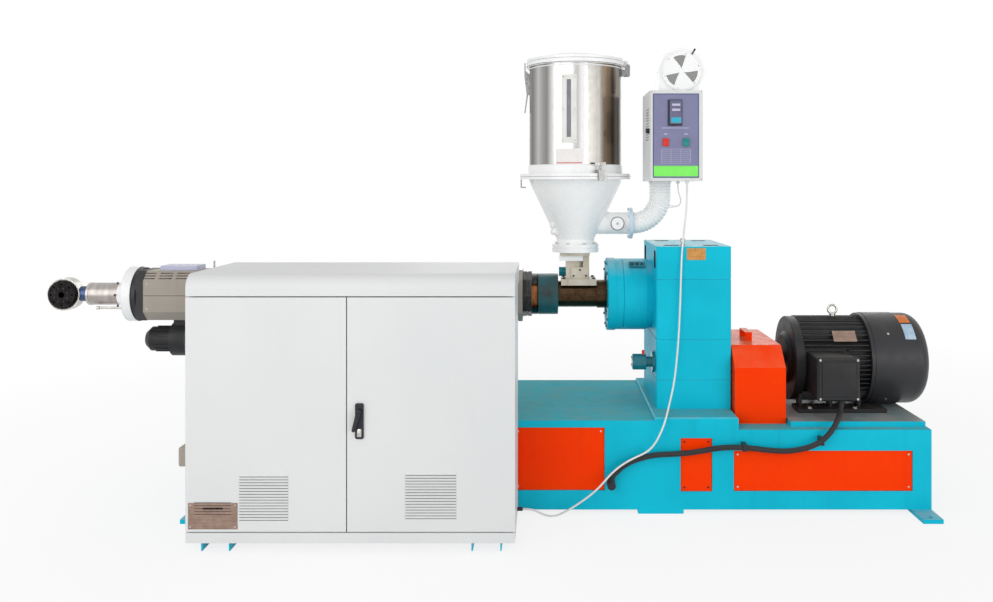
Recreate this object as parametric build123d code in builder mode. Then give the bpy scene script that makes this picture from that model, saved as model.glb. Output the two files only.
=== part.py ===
from build123d import *
import os
from math import cos, pi, radians, sin, sqrt, tan

# A single-screw plastic extruder with its base, drive, hopper dryer, barrel and control cabinet.
# The origin is on the floor, under the screw's axis, at the centre of the middle foot bar.
# X runs along the screw towards the motor, Y towards the back, Z up. Lengths are in millimetres.

# Shared values
screw_z = 1000.0        # height of the screw's axis
overrun = 5.0           # how far a cutting tool runs past what it cuts
seat = 0.3              # gap between a piece and what carries it
turning_gap = 5.0       # gap beside a door or another piece that moves
pin_gap = 0.3           # gap all round a hinge pin

# Base frame
base_half = 450.0
base_left = -2250.0
base_right = 1296.0
foot_height = 20.0
barrel_deck_z = 446.0
gearbox_deck_z = 460.0
motor_deck_z = 402.0
gearbox_deck_left = -30.0
motor_plate_x = (636.0, 1290.0)
motor_plate_half = 395.0
motor_plate_thick = 25.0
plate_edge = 6.0

# Foot bars
middle_bar_half = 109.0
end_bar_width = 94.0
end_bar_half = 581.0
anchor_edge = 31.0      # from the end of a bar to the centre of its anchor hole
anchor_radius = 9.0

# Orange panels in their recesses
recess_depth = 12.0
panel_thick = 8.0
panel_gap = 2.0
panel_rows = {
    "left": ((-1100.0, -269.0), (112.0, 413.0)),
    "middle": ((94.0, 246.0), (106.0, 362.0)),
    "right": ((349.0, 1206.0), (108.0, 302.0)),
}

# Gearbox
gearbox_length = 372.0
gearbox_half = 280.0
gearbox_top = 1268.0
gearbox_seams = (602.0, 802.0, 1102.0)
seam_width = 4.0
seam_depth = 3.0
pocket_inset = (86.0, 90.0)
pocket_size = (78.0, 58.0)
pocket_depth = 30.0
pocket_round = 14.0
side_pocket_size = (70.0, 90.0)
side_pocket_inset = 70.0
gearbox_edge = 5.0

# Output housing, in stations along X measured to the left of the gearbox
housing_radius = 190.0
housing_step = 4.0
housing_end = -232.0
flange_length = 42.0
housing_seam = -153.0
housing_root_radius = 176.0
housing_root_length = 36.0
end_recess_radius = 120.0
end_recess_depth = 6.0

# Oil pump on the gearbox's left face
pump_y = -190.0
pump_z = 678.0
pump_radius = 40.0
pump_length = 112.0
pump_neck_radius = 26.0
pump_neck_length = 44.0
pump_flange_radius = 52.0
pump_flange_length = 14.0

# Feed section, cooling jacket and collar round the screw
feed_radius = 69.0
feed_collar_radius = 74.0
feed_collar_length = 48.0
feed_left = -486.0
jacket_radius = 107.0
jacket_left = -594.0
ring_length = 30.0
ring_core_radius = 92.0
ring_window_half = 62.0
collar_radius = 109.0
collar_sides = 8
collar_left = -671.0
collar_groove = 4.0

# Barrel cover
cover_width = 256.0
cover_chamfer = 48.0
cover_left = -2663.0
cover_end_thick = 22.0
cover_end_rim = 5.0
cover_seams = 4
cover_seam_width = 4.0
cover_seam_depth = 2.0
slot_length = 68.0
slot_height = 6.0
slot_depth = 5.0
slot_pitch = 88.0
slot_row_pitch = 18.0
slot_rows = 3
top_box_x = (-2562.0, -2372.0)
top_box_half = 62.0
top_box_height = 24.0
lifting_pin_x = -2303.0
lifting_pin_radius = 5.0
lifting_pin_height = 46.0
support_x = (-2050.0, -1150.0)
support_foot = (240.0, 260.0, 16.0)
support_post = (110.0, 130.0)
support_saddle = (180.0, 150.0, 16.0)

# End ring, adapter and die head
end_ring_radius = 143.0
end_ring_length = 54.0
end_seal_radius = 139.0
end_seal_length = 20.0
flare_radius = 78.0
flare_length = 58.0
adapter_radius = 58.0
adapter_left = -2956.0
neck_radius = 39.5
neck_end = -3020.0
die_x = -3080.0
die_radius = 74.0
die_front = -60.0
die_back = 40.0
clamp_radius = 85.0
clamp_inset = 18.0
die_edge = 5.0
die_bolt_circle = 55.0
die_bolt_radius = 5.0
die_bolt_depth = 14.0
die_bolt_count = 8
die_bore_radius = 16.0
die_bore_depth = 40.0

# Barrel cooling blower
blower_z = 763.0
blower_motor_left = -2652.0
blower_motor_radius = 63.5
blower_cap_radius = 40.0
blower_cap_length = 26.0
blower_case_left = -2512.0
blower_case_right = -2430.0
blower_case_radius = 88.0
blower_duct_half = 44.0
blower_duct_inset = 12.0
blower_rib_count = 16
blower_rib_height = 5.0
blower_rib_width = 6.0

# Feed throat
throat_plate_x = (-470.0, -287.0)
throat_plate_half = 75.0
throat_plate_z = (1051.0, 1084.0)
throat_block_x = (-417.0, -328.0)
throat_block_half = 55.0
throat_block_top = 1144.0
throat_riser_x = (-445.0, -396.0)
throat_riser_half = 45.0
gate_z = (1178.0, 1205.0)
throat_core_radius = 38.0
throat_post_x = (-356.0, -323.0)
throat_post_y = 34.0
throat_post_half = 13.0
throat_top_x = (-475.0, -322.0)
throat_top_half = 80.0
throat_bore_radius = 50.0
gate_x = (-481.0, -358.0)
gate_half = 62.0
knob_radius = 27.0
knob_length = 36.0
knob_z = 1118.0

# Hopper
hopper_x = -394.0
hopper_foot_z = 1223.0
hopper_foot_radius = 123.0
hopper_foot_top = 1266.0
hopper_foot_groove = 4.0
hopper_neck_radius = 100.0
cone_z = (1291.0, 1595.0)
cone_radius = 244.5
sheet = 4.0
outlet_radius = 60.0
cone_flange_radius = 293.0
cone_flange_z = (1603.0, 1632.0)
drum_collar_radius = 250.0
drum_collar_top = 1675.0
drum_radius = 243.0
drum_top = 2190.0

# Sight glass on the drum
sight_angle = -9.5
sight_width = 78.0
sight_z = (1785.0, 2130.0)
sight_thick = 8.0
sight_slot_width = 22.0
sight_slot_z = (1815.0, 2105.0)
sight_slot_depth = 5.0

# Hopper lid, its hinge and the fittings on the drum
lid_radius = 257.5
lid_rim_height = 40.0
lid_step = 14.0
lid_crown_rise = 47.7   # of the dome above the rim's step
hinge_x = -118.0
hinge_z = 2199.0
hinge_pin_radius = 4.0
hinge_ear_radius = 11.0
hinge_ear_thick = 6.0
hinge_lug_half = 14.0
hinge_side_gap = 1.0
hinge_foot_z = 2148.0
hinge_bracket_drop = 8.0
hinge_foot_thick = 12.0
latch_half = 12.0
latch_reach = 26.0
latch_wire = 6.0
latch_z = (1955.0, 2050.0, 2159.0, 2217.0)
wing_angle = 24.6
wing_base = (44.0, 34.0, 16.0)
wing_rod_radius = 6.0
wing_height = 56.0
wing_size = (60.0, 10.0, 15.0)
wing_lip = 10.0
wing_lip_drop = 38.0
hook_x = -683.0
hook_thick = 6.0
hook_drop = 44.0
hook_foot = 28.0
hook_half = 12.0

# Air inlet and corrugated elbow
air_z = 1374.0
inlet_radius = 59.0
air_flange_x = (-115.0, -95.0)
air_flange_radius = 83.0
inspection_x = -178.0
inspection_radius = 35.0
inspection_front = -86.0
elbow_bend = 145.0
elbow_radius = 58.0
elbow_valley = 54.0
elbow_x = 53.0
corrugations = 20
sensor_port_radius = 7.0
sensor_port_length = 11.0

# Dryer box, panel and controls
dryer_x = (-32.0, 229.0)
dryer_y = (-290.0, 60.0)
dryer_z = (1594.0, 2045.0)
dryer_edge = 8.0
vent_y = (-225.0, -95.0)
vent_z = 1800.0
vent_count = 12
vent_pitch = 14.0
vent_height = 5.0
vent_depth = 3.0
panel_x = (-19.0, 209.0)
panel_z = (1610.0, 2028.0)
dryer_panel_thick = 3.0
dryer_panel_round = 10.0
display_x = (55.0, 125.0)
display_z = (1868.0, 1997.0)
display_proud = 6.0
switch_width = 30.0
switch_x = (44.0, 145.0)
switch_z = (1766.0, 1805.0)
switch_proud = 9.0
side_knob_y = -250.0
side_knob_z = 1845.0
side_knob_radius = 13.0
side_knob_length = 18.0
box_gland_radius = 9.0

# Dryer blower on the box
fan_x = 128.0
fan_z = 2143.0
fan_face_radius = 97.0
fan_face_y = (-264.0, -250.0)
fan_case_radius = 116.0
fan_case_y = (-250.0, -140.0)
fan_outlet_x = (13.0, 150.0)
fan_motor_radius = 72.0
fan_motor_back = 10.0
fan_blade_count = 3
fan_blade_radii = (20.0, 80.0)
fan_blade_sweep = (-20.0, 28.0)
fan_blade_depth = 8.0
fan_lug_count = 8
fan_lug_radius = 9.0

# Coupling guard and coupling
guard_x = (378.0, 628.0)
guard_half = 340.0
guard_side_top = 676.0
guard_top = 772.0
handle_y = (-120.0, 20.0)
handle_x = (478.0, 512.0)
handle_height = 44.0
handle_thick = 6.0
shaft_radius = 32.0
hub_radius = 78.0
hub_length = 46.0
hub_edge = 8.0

# Motor
motor_z = 664.0
shield_x = (715.0, 761.0)
shield_radius = 216.0
shield_nose_radius = 120.0
shield_nose_length = 18.0
motor_core_radius = 190.0
fin_radius = 220.0
fin_end = 1115.0
fin_pitch = 24.0
fin_thick = 5.0
fin_rows = 6
motor_feet_x = (720.0, 1165.0)
motor_foot_half = 235.0
motor_foot_inner = 110.0
motor_foot_height = 20.0
motor_web_x = (745.0, 900.0, 1045.0)
motor_web_thick = 14.0
motor_web_inset = 12.0
cowl_radius = 234.0
cowl_end = 1400.0
cowl_shoulder = 1330.0
cowl_lip = 22.0
cowl_nose_radius = 165.0
cowl_groove_radii = (60.0, 90.0, 120.0)
cowl_groove_width = 9.0
cowl_groove_depth = 5.0
terminal_x = (770.0, 978.0)
terminal_z = (520.0, 735.0)
terminal_y = (-385.0, -130.0)
terminal_lid_thick = 16.0
terminal_lid_gap = 6.0
terminal_lid_edge = 10.0
terminal_clear = 5.0
terminal_round = 12.0
gland_x = 900.0
gland_y = -345.0
gland_radius = 17.0
gland_length = 17.0
eye_x = 964.0
eye_boss_radius = 22.0
eye_boss_z = 884.0
eye_major = 22.5
eye_wire = 6.0
eye_stem_height = 12.0

# Cabinet
cabinet_x = (-2095.0, -684.0)
cabinet_front = -907.0
cabinet_back_y = -460.0
plinth_z = (40.0, 84.0)
hood_z = (1097.0, 1190.0)
hood_back = -290.0
hood_round = 62.0
cabinet_sheet = 3.0
cabinet_flange = 24.0
body_front = -879.0
channel_x = ((-2034.0, -1909.0), (-872.0, -742.0))
channel_wall = 6.0
channel_front = -890.0
side_box_x = -2145.0
side_box_y = (-860.0, -780.0)
side_box_z = (354.0, 436.0)
side_box_edge = 6.0

# Cabinet doors
door_thick = 18.0
door_skin = 2.0
door_rim = 18.0
door_split = -1405.0
door_inset = 6.0
door_pin_radius = 4.0
door_pin_length = 12.0
louvre_count = 16
louvre_x = {"left": (-1864.0, -1655.0), "right": (-1154.0, -936.0)}
louvre_z = {"left": (141.0, 339.0), "right": (148.0, 346.0)}
louvre_opening = 6.0
louvre_proud = 4.0
louvre_sheet = 1.6

# Door handle
handle_plate_x = -1349.0
handle_plate_z = 564.0
handle_plate_size = (36.0, 152.0)
handle_plate_proud = 8.0
handle_plate_round = 8.0
lever_pivot_z = 606.0
lever_length = 81.0
lever_tilt = 16.0
lever_radius = 11.0
lever_tip_radius = 7.0
lever_y = (-932.0, -920.0)
lever_hub_gap = 1.0
lever_pin_radius = 4.0

# Cable fittings on the cabinet and the base
cabinet_gland_y = -575.0
cabinet_gland_z = 68.0
cabinet_gland_radius = 9.0
cabinet_gland_length = 25.0
conduit_y = -487.0
base_gland_x = -240.0
base_gland_z = 150.0
base_gland_radius = 20.0
base_gland_top = 185.0
clip_x = (392.0, 757.0)
clip_z = (329.0, 358.0)
clip_half = 9.0
clip_wall = 4.0

# Cords: diameters and routes
arc_share = 0.45        # of the shorter run that a bend's arc may take
dryer_cable_diameter = 9.0
conduit_diameter = 26.0
sensor_lead_diameter = 6.0
dryer_cable_route = [
    (153.0, -275.0, 1582.0), (153.0, -275.0, 1474.0), (137.0, -283.0, 1350.0), (124.0, -292.0, 1232.0),
    (119.0, -297.0, 1103.0), (115.0, -300.0, 980.0), (109.0, -303.0, 857.0), (98.0, -318.0, 736.0),
    (77.0, -362.0, 611.0), (43.0, -430.0, 517.0), (12.0, -485.0, 435.0), (-30.0, -501.0, 354.0),
    (-70.0, -513.0, 315.0), (-145.0, -517.0, 283.0), (-202.0, -515.0, 248.0), (-249.0, -516.0, 207.0),
    (-296.0, -515.0, 151.0), (-343.0, -512.0, 108.0), (-400.0, -508.0, 66.0), (-452.0, -501.0, 31.0),
    (-505.0, -502.0, 7.0), (-549.0, -521.0, 16.0), (-586.0, -551.0, 45.0), (-622.0, -575.0, 68.0),
    (-659.0, -575.0, 68.0),
]
conduit_route = [
    (900.0, -345.0, 503.0), (891.0, -352.0, 468.0), (856.0, -428.0, 448.0), (815.0, -484.0, 415.0),
    (763.0, -494.0, 362.0), (698.0, -491.0, 328.0), (605.0, -487.0, 309.0), (511.0, -486.0, 313.0),
    (393.0, -487.0, 329.0), (275.0, -488.0, 328.0), (175.0, -487.0, 308.0), (85.0, -486.0, 297.0),
    (-38.0, -486.0, 294.0), (-139.0, -487.0, 266.0), (-200.0, -488.0, 231.0), (-240.0, -487.0, 185.0),
]
sensor_lead_route = [
    (139.0, -60.0, 1582.0), (139.0, -60.0, 1550.0), (148.0, -57.0, 1520.0), (156.0, -50.0, 1497.0),
    (156.0, -45.0, 1480.0), (143.0, -40.0, 1462.0), (118.0, -40.0, 1462.0),
]

# Values worked out from the ones above
flange_right = housing_end + flange_length
feed_right = housing_end
ring_left = jacket_left - ring_length
cover_half = cover_width / 2
cover_bottom = screw_z - cover_half
cover_top = screw_z + cover_half
end_seal_left = cover_left - end_seal_length
end_ring_left = end_seal_left - end_ring_length
door_back = cabinet_front + door_thick
door_axis_y = door_back - door_inset
door_z = (plinth_z[1] + turning_gap, hood_z[0] - turning_gap)
motor_seat_z = motor_deck_z + motor_plate_thick
lid_bottom = drum_top + seat

# Frames of reference
screw_plane = Plane((0, 0, screw_z), x_dir=(1, 0, 0), z_dir=(0, -1, 0))
screw_axis = Axis((0, 0, screw_z), (1, 0, 0))
motor_plane = Plane((0, 0, motor_z), x_dir=(1, 0, 0), z_dir=(0, -1, 0))
motor_axis = Axis((0, 0, motor_z), (1, 0, 0))
fan_plane = Plane((0, 0, blower_z), x_dir=(1, 0, 0), z_dir=(0, -1, 0))
fan_axis = Axis((0, 0, blower_z), (1, 0, 0))
hopper_plane = Plane((hopper_x, 0, 0), x_dir=(1, 0, 0), z_dir=(0, -1, 0))
hopper_axis = Axis((hopper_x, 0, 0), (0, 0, 1))


def slab(x, y, z, mode=Mode.ADD):
    """A box between two limits along each axis."""
    with Locations(tuple((low + high) / 2 for low, high in (x, y, z))):
        Box(x[1] - x[0], y[1] - y[0], z[1] - z[0], mode=mode)


def rod_x(ends, radius, y, z, mode=Mode.ADD):
    """A round bar along X."""
    with Locations(Location(((ends[0] + ends[1]) / 2, y, z), (0, 90, 0))):
        Cylinder(radius, ends[1] - ends[0], mode=mode)


def rod_y(ends, radius, x, z, mode=Mode.ADD):
    """A round bar along Y."""
    with Locations(Location((x, (ends[0] + ends[1]) / 2, z), (90, 0, 0))):
        Cylinder(radius, ends[1] - ends[0], mode=mode)


def rod_z(ends, radius, x, y, mode=Mode.ADD):
    """A round bar along Z."""
    with Locations((x, y, (ends[0] + ends[1]) / 2)):
        Cylinder(radius, ends[1] - ends[0], mode=mode)


def outline(plane, points):
    """A closed face through points on a plane."""
    with BuildSketch(plane) as face:
        with BuildLine():
            Polyline(*points, close=True)
        make_face()
    return face.sketch


def dome_arc(edge_radius, edge_z, top_z):
    """An arc of a sphere from a rim up to the top of the axis."""
    rise = top_z - edge_z
    sphere = (edge_radius ** 2 + rise ** 2) / (2 * rise)
    middle = edge_radius / 2
    middle_z = top_z - sphere + sqrt(sphere ** 2 - middle ** 2)
    return ThreePointArc((edge_radius, edge_z), (middle, middle_z), (0, top_z))


def finish(piece, name):
    """Label a piece and write it."""
    piece.part.label = name
    export_step(piece.part, f"parts/{name}.step")


def route_radii(points):
    """The arc at each corner of a cord's route, as large as its two runs allow."""
    vectors = [Vector(*point) for point in points]
    radii = []
    for before, corner, after in zip(vectors, vectors[1:], vectors[2:]):
        run_in, run_out = corner - before, after - corner
        half_turn = radians(run_in.get_angle(run_out)) / 2
        radii.append(arc_share * min(run_in.length, run_out.length) / tan(half_turn))
    return radii


def cord_tube(points, diameter):
    """A tube along straight runs joined by tangent arcs, with its length."""
    with BuildPart() as tube:
        with BuildLine() as path:
            FilletPolyline(*points, radius=route_radii(points))
        with BuildSketch(Plane(path.line @ 0, z_dir=path.line % 0)):
            Circle(diameter / 2)
        sweep()
    return tube, path.wires()[0].length


def cord(points, diameter, name):
    """Make and write a cord, and print its length, its volume's share and its bends."""
    radii = route_radii(points)
    tube, length = cord_tube(points, diameter)
    expected = length * (diameter / 2) ** 2 * pi
    print(f"{name}: length {length:.0f}, volume share {tube.part.volume / expected:.4f}")
    print("  radii in diameters", [round(radius / diameter, 1) for radius in radii])
    finish(tube, name)


os.makedirs("parts", exist_ok=True)

# Base frame: a closed welded box whose deck steps up under the gearbox and down under the motor
base_side = [
    (base_left, foot_height), (base_right, foot_height), (base_right, motor_deck_z),
    (gearbox_length, motor_deck_z), (gearbox_length, gearbox_deck_z), (gearbox_deck_left, gearbox_deck_z),
    (gearbox_deck_left, barrel_deck_z), (base_left, barrel_deck_z),
]
with BuildPart() as base_frame:
    extrude(outline(Plane.XZ, base_side), amount=base_half, both=True)
    for recess_x, recess_z in panel_rows.values():
        for side in (-1, 1):
            faces = sorted((side * (base_half - recess_depth), side * (base_half + overrun)))
            slab(recess_x, faces, recess_z, mode=Mode.SUBTRACT)
    with BuildSketch(Plane.XY.offset(motor_deck_z)):
        with Locations((sum(motor_plate_x) / 2, 0)):
            Rectangle(motor_plate_x[1] - motor_plate_x[0], 2 * motor_plate_half)
    extrude(amount=motor_plate_thick)
    plate_top = base_frame.faces().filter_by(Plane.XY.offset(motor_seat_z)).sort_by(Axis.Z)[-1]
    chamfer(plate_top.edges(), plate_edge)
finish(base_frame, "base_frame")

# Foot bars: the end bars reach out past the base and hold the anchor bolts
end_bars = ((base_left, base_left + end_bar_width), (base_right - end_bar_width, base_right))
with BuildPart() as foot_bars:
    slab((-middle_bar_half, middle_bar_half), (-base_half, base_half), (0, foot_height))
    for bar_x in end_bars:
        slab(bar_x, (-end_bar_half, end_bar_half), (0, foot_height))
        for anchor_y in (anchor_edge - end_bar_half, end_bar_half - anchor_edge):
            rod_z((-overrun, foot_height + overrun), anchor_radius, sum(bar_x) / 2, anchor_y,
                  mode=Mode.SUBTRACT)
finish(foot_bars, "foot_bars")

# Side panels, screwed into the recesses of the base
for side, name in ((-1, "front_panels"), (1, "back_panels")):
    with BuildPart() as panels:
        for recess_x, recess_z in panel_rows.values():
            panel_floor = side * (base_half - recess_depth)
            slab((recess_x[0] + panel_gap, recess_x[1] - panel_gap),
                 sorted((panel_floor, panel_floor + side * panel_thick)),
                 (recess_z[0] + panel_gap, recess_z[1] - panel_gap))
    finish(panels, name)

# Gearbox: a cast case in four layers, with bolt pockets in its top and its left face
with BuildPart() as gearbox:
    slab((0, gearbox_length), (-gearbox_half, gearbox_half), (gearbox_deck_z, gearbox_top))
    chamfer(gearbox.edges().filter_by(Axis.Z), gearbox_edge)
    for seam_z in gearbox_seams:
        with BuildSketch(Plane.XY.offset(seam_z)):
            with Locations((gearbox_length / 2, 0)):
                Rectangle(gearbox_length + overrun, 2 * gearbox_half + overrun)
                Rectangle(gearbox_length - 2 * seam_depth, 2 * (gearbox_half - seam_depth),
                          mode=Mode.SUBTRACT)
        extrude(amount=seam_width, mode=Mode.SUBTRACT)
    with BuildSketch(Plane.XY.offset(gearbox_top)):
        with Locations((gearbox_length / 2, 0)):
            with GridLocations(gearbox_length - 2 * pocket_inset[0], 2 * (gearbox_half - pocket_inset[1]), 2, 2):
                RectangleRounded(*pocket_size, pocket_round)
    extrude(amount=-pocket_depth, mode=Mode.SUBTRACT)
    with BuildSketch(Plane.YZ):
        with Locations((0, gearbox_top - side_pocket_inset)):
            with GridLocations(2 * (gearbox_half - side_pocket_inset), 1, 2, 1):
                RectangleRounded(*side_pocket_size, pocket_round)
    extrude(amount=pocket_depth, mode=Mode.SUBTRACT)
finish(gearbox, "gearbox")

# Output housing: the turned housing that carries the screw's thrust bearing
with BuildPart() as output_housing:
    revolve(outline(screw_plane, [
        (0, 0), (0, housing_root_radius), (-housing_root_length, housing_radius - housing_step),
        (flange_right, housing_radius - housing_step), (flange_right, housing_radius),
        (housing_end + housing_step, housing_radius), (housing_end, housing_radius - housing_step),
        (housing_end, end_recess_radius), (housing_end + end_recess_depth, end_recess_radius),
        (housing_end + end_recess_depth, feed_collar_radius), (housing_end, feed_collar_radius),
        (housing_end, 0),
    ]), axis=screw_axis)
    revolve(outline(screw_plane, [
        (housing_seam, housing_radius + overrun), (housing_seam, housing_radius - 2 * housing_step),
        (housing_seam + seam_width, housing_radius - 2 * housing_step),
        (housing_seam + seam_width, housing_radius + overrun),
    ]), axis=screw_axis, mode=Mode.SUBTRACT)
finish(output_housing, "output_housing")

# Oil pump on the gearbox's left face
with BuildPart() as oil_pump:
    rod_x((-pump_flange_length, 0), pump_flange_radius, pump_y, pump_z)
    rod_x((-pump_neck_length, 0), pump_neck_radius, pump_y, pump_z)
    rod_x((-pump_length, -pump_neck_length), pump_radius, pump_y, pump_z)
    chamfer(oil_pump.edges().filter_by(GeomType.CIRCLE).sort_by(Axis.X)[0], housing_step)
finish(oil_pump, "oil_pump")

# Feed section of the barrel, with its collar at the output housing
with BuildPart() as feed_section:
    revolve(outline(screw_plane, [
        (feed_left, 0), (feed_left, feed_radius), (feed_right - feed_collar_length, feed_radius),
        (feed_right - feed_collar_length, feed_collar_radius), (feed_right, feed_collar_radius),
        (feed_right, 0),
    ]), axis=screw_axis)
finish(feed_section, "feed_section")

# Cooling jacket, with a slotted ring whose front window shows the core
with BuildPart() as cooling_jacket:
    rod_x((jacket_left, feed_left), jacket_radius, 0, screw_z)
    chamfer(cooling_jacket.edges().filter_by(GeomType.CIRCLE), housing_step)
    rod_x((ring_left, jacket_left), jacket_radius, 0, screw_z)
    slab((ring_left - overrun, jacket_left), (-jacket_radius - overrun, 0),
         (screw_z - ring_window_half, screw_z + ring_window_half), mode=Mode.SUBTRACT)
    rod_x((ring_left, jacket_left), ring_core_radius, 0, screw_z)
finish(cooling_jacket, "cooling_jacket")

# Faceted collar nut that clamps the barrel to the jacket
with BuildPart() as faceted_collar:
    with BuildSketch(Plane.YZ.offset(collar_left)):
        with Locations((0, screw_z)):
            RegularPolygon(collar_radius, collar_sides, major_radius=False)
    extrude(amount=ring_left - collar_left)
    with BuildSketch(Plane.YZ.offset((collar_left + ring_left) / 2)):
        with Locations((0, screw_z)):
            RegularPolygon(collar_radius + overrun, collar_sides, major_radius=False)
            RegularPolygon(collar_radius - collar_groove, collar_sides, major_radius=False,
                           mode=Mode.SUBTRACT)
    extrude(amount=collar_groove, mode=Mode.SUBTRACT)
finish(faceted_collar, "faceted_collar")

# Barrel cover: a sheet octagon over the heated barrel, slotted along its two upper bevels
with BuildPart() as barrel_cover:
    for cover_x, cover_rim in (((cover_left, collar_left), 0), ((collar_left - cover_end_thick, collar_left),
                                                                cover_end_rim)):
        with BuildSketch(Plane.YZ.offset(cover_x[0])) as octagon:
            with Locations((0, screw_z)):
                Rectangle(cover_width + 2 * cover_rim, cover_width + 2 * cover_rim)
            chamfer(octagon.vertices(), cover_chamfer)
        extrude(amount=cover_x[1] - cover_x[0])
    cover_length = collar_left - cover_end_thick - cover_left
    for seam in range(1, cover_seams):
        seam_x = cover_left + seam * cover_length / cover_seams
        with BuildSketch(Plane.YZ.offset(seam_x)) as ring:
            with Locations((0, screw_z)):
                Rectangle(cover_width + overrun, cover_width + overrun)
                Rectangle(cover_width - 2 * cover_seam_depth, cover_width - 2 * cover_seam_depth,
                          mode=Mode.SUBTRACT)
        extrude(amount=cover_seam_width, mode=Mode.SUBTRACT)
    slot_columns = int(cover_length / slot_pitch)
    for side in (-1, 1):
        bevel_centre = (cover_left + cover_length / 2, side * (cover_half - cover_chamfer / 2),
                        cover_top - cover_chamfer / 2)
        with BuildSketch(Plane(bevel_centre, x_dir=(1, 0, 0), z_dir=(0, side, 1))):
            with GridLocations(slot_pitch, slot_row_pitch, slot_columns, slot_rows):
                Rectangle(slot_length, slot_height)
        extrude(amount=-slot_depth, mode=Mode.SUBTRACT)
    slab(top_box_x, (-top_box_half, top_box_half), (cover_top, cover_top + top_box_height))
    rod_z((cover_top, cover_top + lifting_pin_height), lifting_pin_radius, lifting_pin_x, 0)
finish(barrel_cover, "barrel_cover")

# Barrel supports between the deck and the cover
with BuildPart() as barrel_supports:
    for post_x in support_x:
        for (length, width, thick), low in ((support_foot, barrel_deck_z),
                                            (support_saddle, cover_bottom - support_saddle[2])):
            slab((post_x - length / 2, post_x + length / 2), (-width / 2, width / 2), (low, low + thick))
        slab((post_x - support_post[0] / 2, post_x + support_post[0] / 2),
             (-support_post[1] / 2, support_post[1] / 2),
             (barrel_deck_z + support_foot[2], cover_bottom - support_saddle[2]))
finish(barrel_supports, "barrel_supports")

# End ring: the white ring and its dark seal
with BuildPart() as end_ring:
    rod_x((end_ring_left, end_seal_left), end_ring_radius, 0, screw_z)
    chamfer(end_ring.edges().filter_by(GeomType.CIRCLE), housing_step)
    rod_x((end_seal_left, cover_left), end_seal_radius, 0, screw_z)
finish(end_ring, "end_ring")

# Adapter and neck, turned, which lead the melt to the die head
with BuildPart() as adapter:
    revolve(outline(screw_plane, [
        (end_ring_left, 0), (end_ring_left, flare_radius), (end_ring_left - flare_length, adapter_radius),
        (adapter_left, adapter_radius), (adapter_left, neck_radius), (neck_end, neck_radius), (neck_end, 0),
    ]), axis=screw_axis)
    rod_y((die_front - overrun, die_back + overrun), clamp_radius + seat, die_x, screw_z, mode=Mode.SUBTRACT)
finish(adapter, "adapter")

# Die head: a short cylinder across the screw's axis, with its bolt circle and bore in front
with BuildPart() as die_head:
    rod_y((die_front, die_back), die_radius, die_x, screw_z)
    chamfer(die_head.edges().filter_by(GeomType.CIRCLE), die_edge)
    rod_y((die_front + clamp_inset, die_back - clamp_inset), clamp_radius, die_x, screw_z)
    rod_y((die_front - overrun, die_front + die_bore_depth), die_bore_radius, die_x, screw_z,
          mode=Mode.SUBTRACT)
    with BuildSketch(Plane.XZ.offset(-die_front)):
        with Locations((die_x, screw_z)):
            with PolarLocations(die_bolt_circle, die_bolt_count):
                Circle(die_bolt_radius)
    extrude(amount=-die_bolt_depth, mode=Mode.SUBTRACT)
finish(die_head, "die_head")

# Barrel blower: a ribbed motor and a fan case whose duct meets the cover's underside
with BuildPart() as barrel_blower:
    revolve(outline(fan_plane, [
        (blower_motor_left, 0), (blower_motor_left, blower_cap_radius),
        (blower_motor_left + blower_cap_length, blower_motor_radius),
        (blower_case_left, blower_motor_radius), (blower_case_left, blower_case_radius),
        (blower_case_right, blower_case_radius), (blower_case_right, 0),
    ]), axis=fan_axis)
    with BuildSketch(Plane.YZ.offset(blower_motor_left + 2 * blower_cap_length)):
        with Locations((0, blower_z)):
            with PolarLocations(blower_motor_radius, blower_rib_count):
                Rectangle(2 * blower_rib_height, blower_rib_width)
    extrude(amount=blower_case_left - blower_motor_left - 2 * blower_cap_length)
    slab((blower_case_left + blower_duct_inset, blower_case_right - blower_duct_inset),
         (-blower_duct_half, blower_duct_half), (blower_z, cover_bottom))
finish(barrel_blower, "barrel_blower")

# Feed throat: a saddle on the feed section, with the riser and posts that carry the hopper's plate
with BuildPart() as feed_throat:
    slab(throat_plate_x, (-throat_plate_half, throat_plate_half), throat_plate_z)
    slab(throat_block_x, (-throat_block_half, throat_block_half), (throat_plate_z[1], throat_block_top))
    slab(throat_riser_x, (-throat_riser_half, throat_riser_half), (throat_plate_z[1], gate_z[0]))
    rod_z((throat_block_top, gate_z[0]), throat_core_radius, hopper_x, 0)
    for post_y in (-throat_post_y, throat_post_y):
        slab(throat_post_x, (post_y - throat_post_half, post_y + throat_post_half),
             (throat_plate_z[1], gate_z[1]))
    slab(throat_top_x, (-throat_top_half, throat_top_half), (gate_z[1], hopper_foot_z))
    rod_z((gate_z[1] - overrun, hopper_foot_z + overrun), throat_bore_radius, hopper_x, 0,
          mode=Mode.SUBTRACT)
    rod_x((throat_plate_x[0] - overrun, throat_plate_x[1] + overrun), feed_radius + seat, 0, screw_z,
          mode=Mode.SUBTRACT)
finish(feed_throat, "feed_throat")

# Slide gate under the hopper, and the hexagon knob on the riser
with BuildPart() as slide_gate:
    slab((gate_x[0], throat_post_x[0] - seat), (-gate_half, gate_half), gate_z)
    with BuildSketch(Plane.YZ.offset(throat_riser_x[0])):
        with Locations((0, knob_z)):
            RegularPolygon(knob_radius, 6)
    extrude(amount=-knob_length)
finish(slide_gate, "slide_gate")

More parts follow.
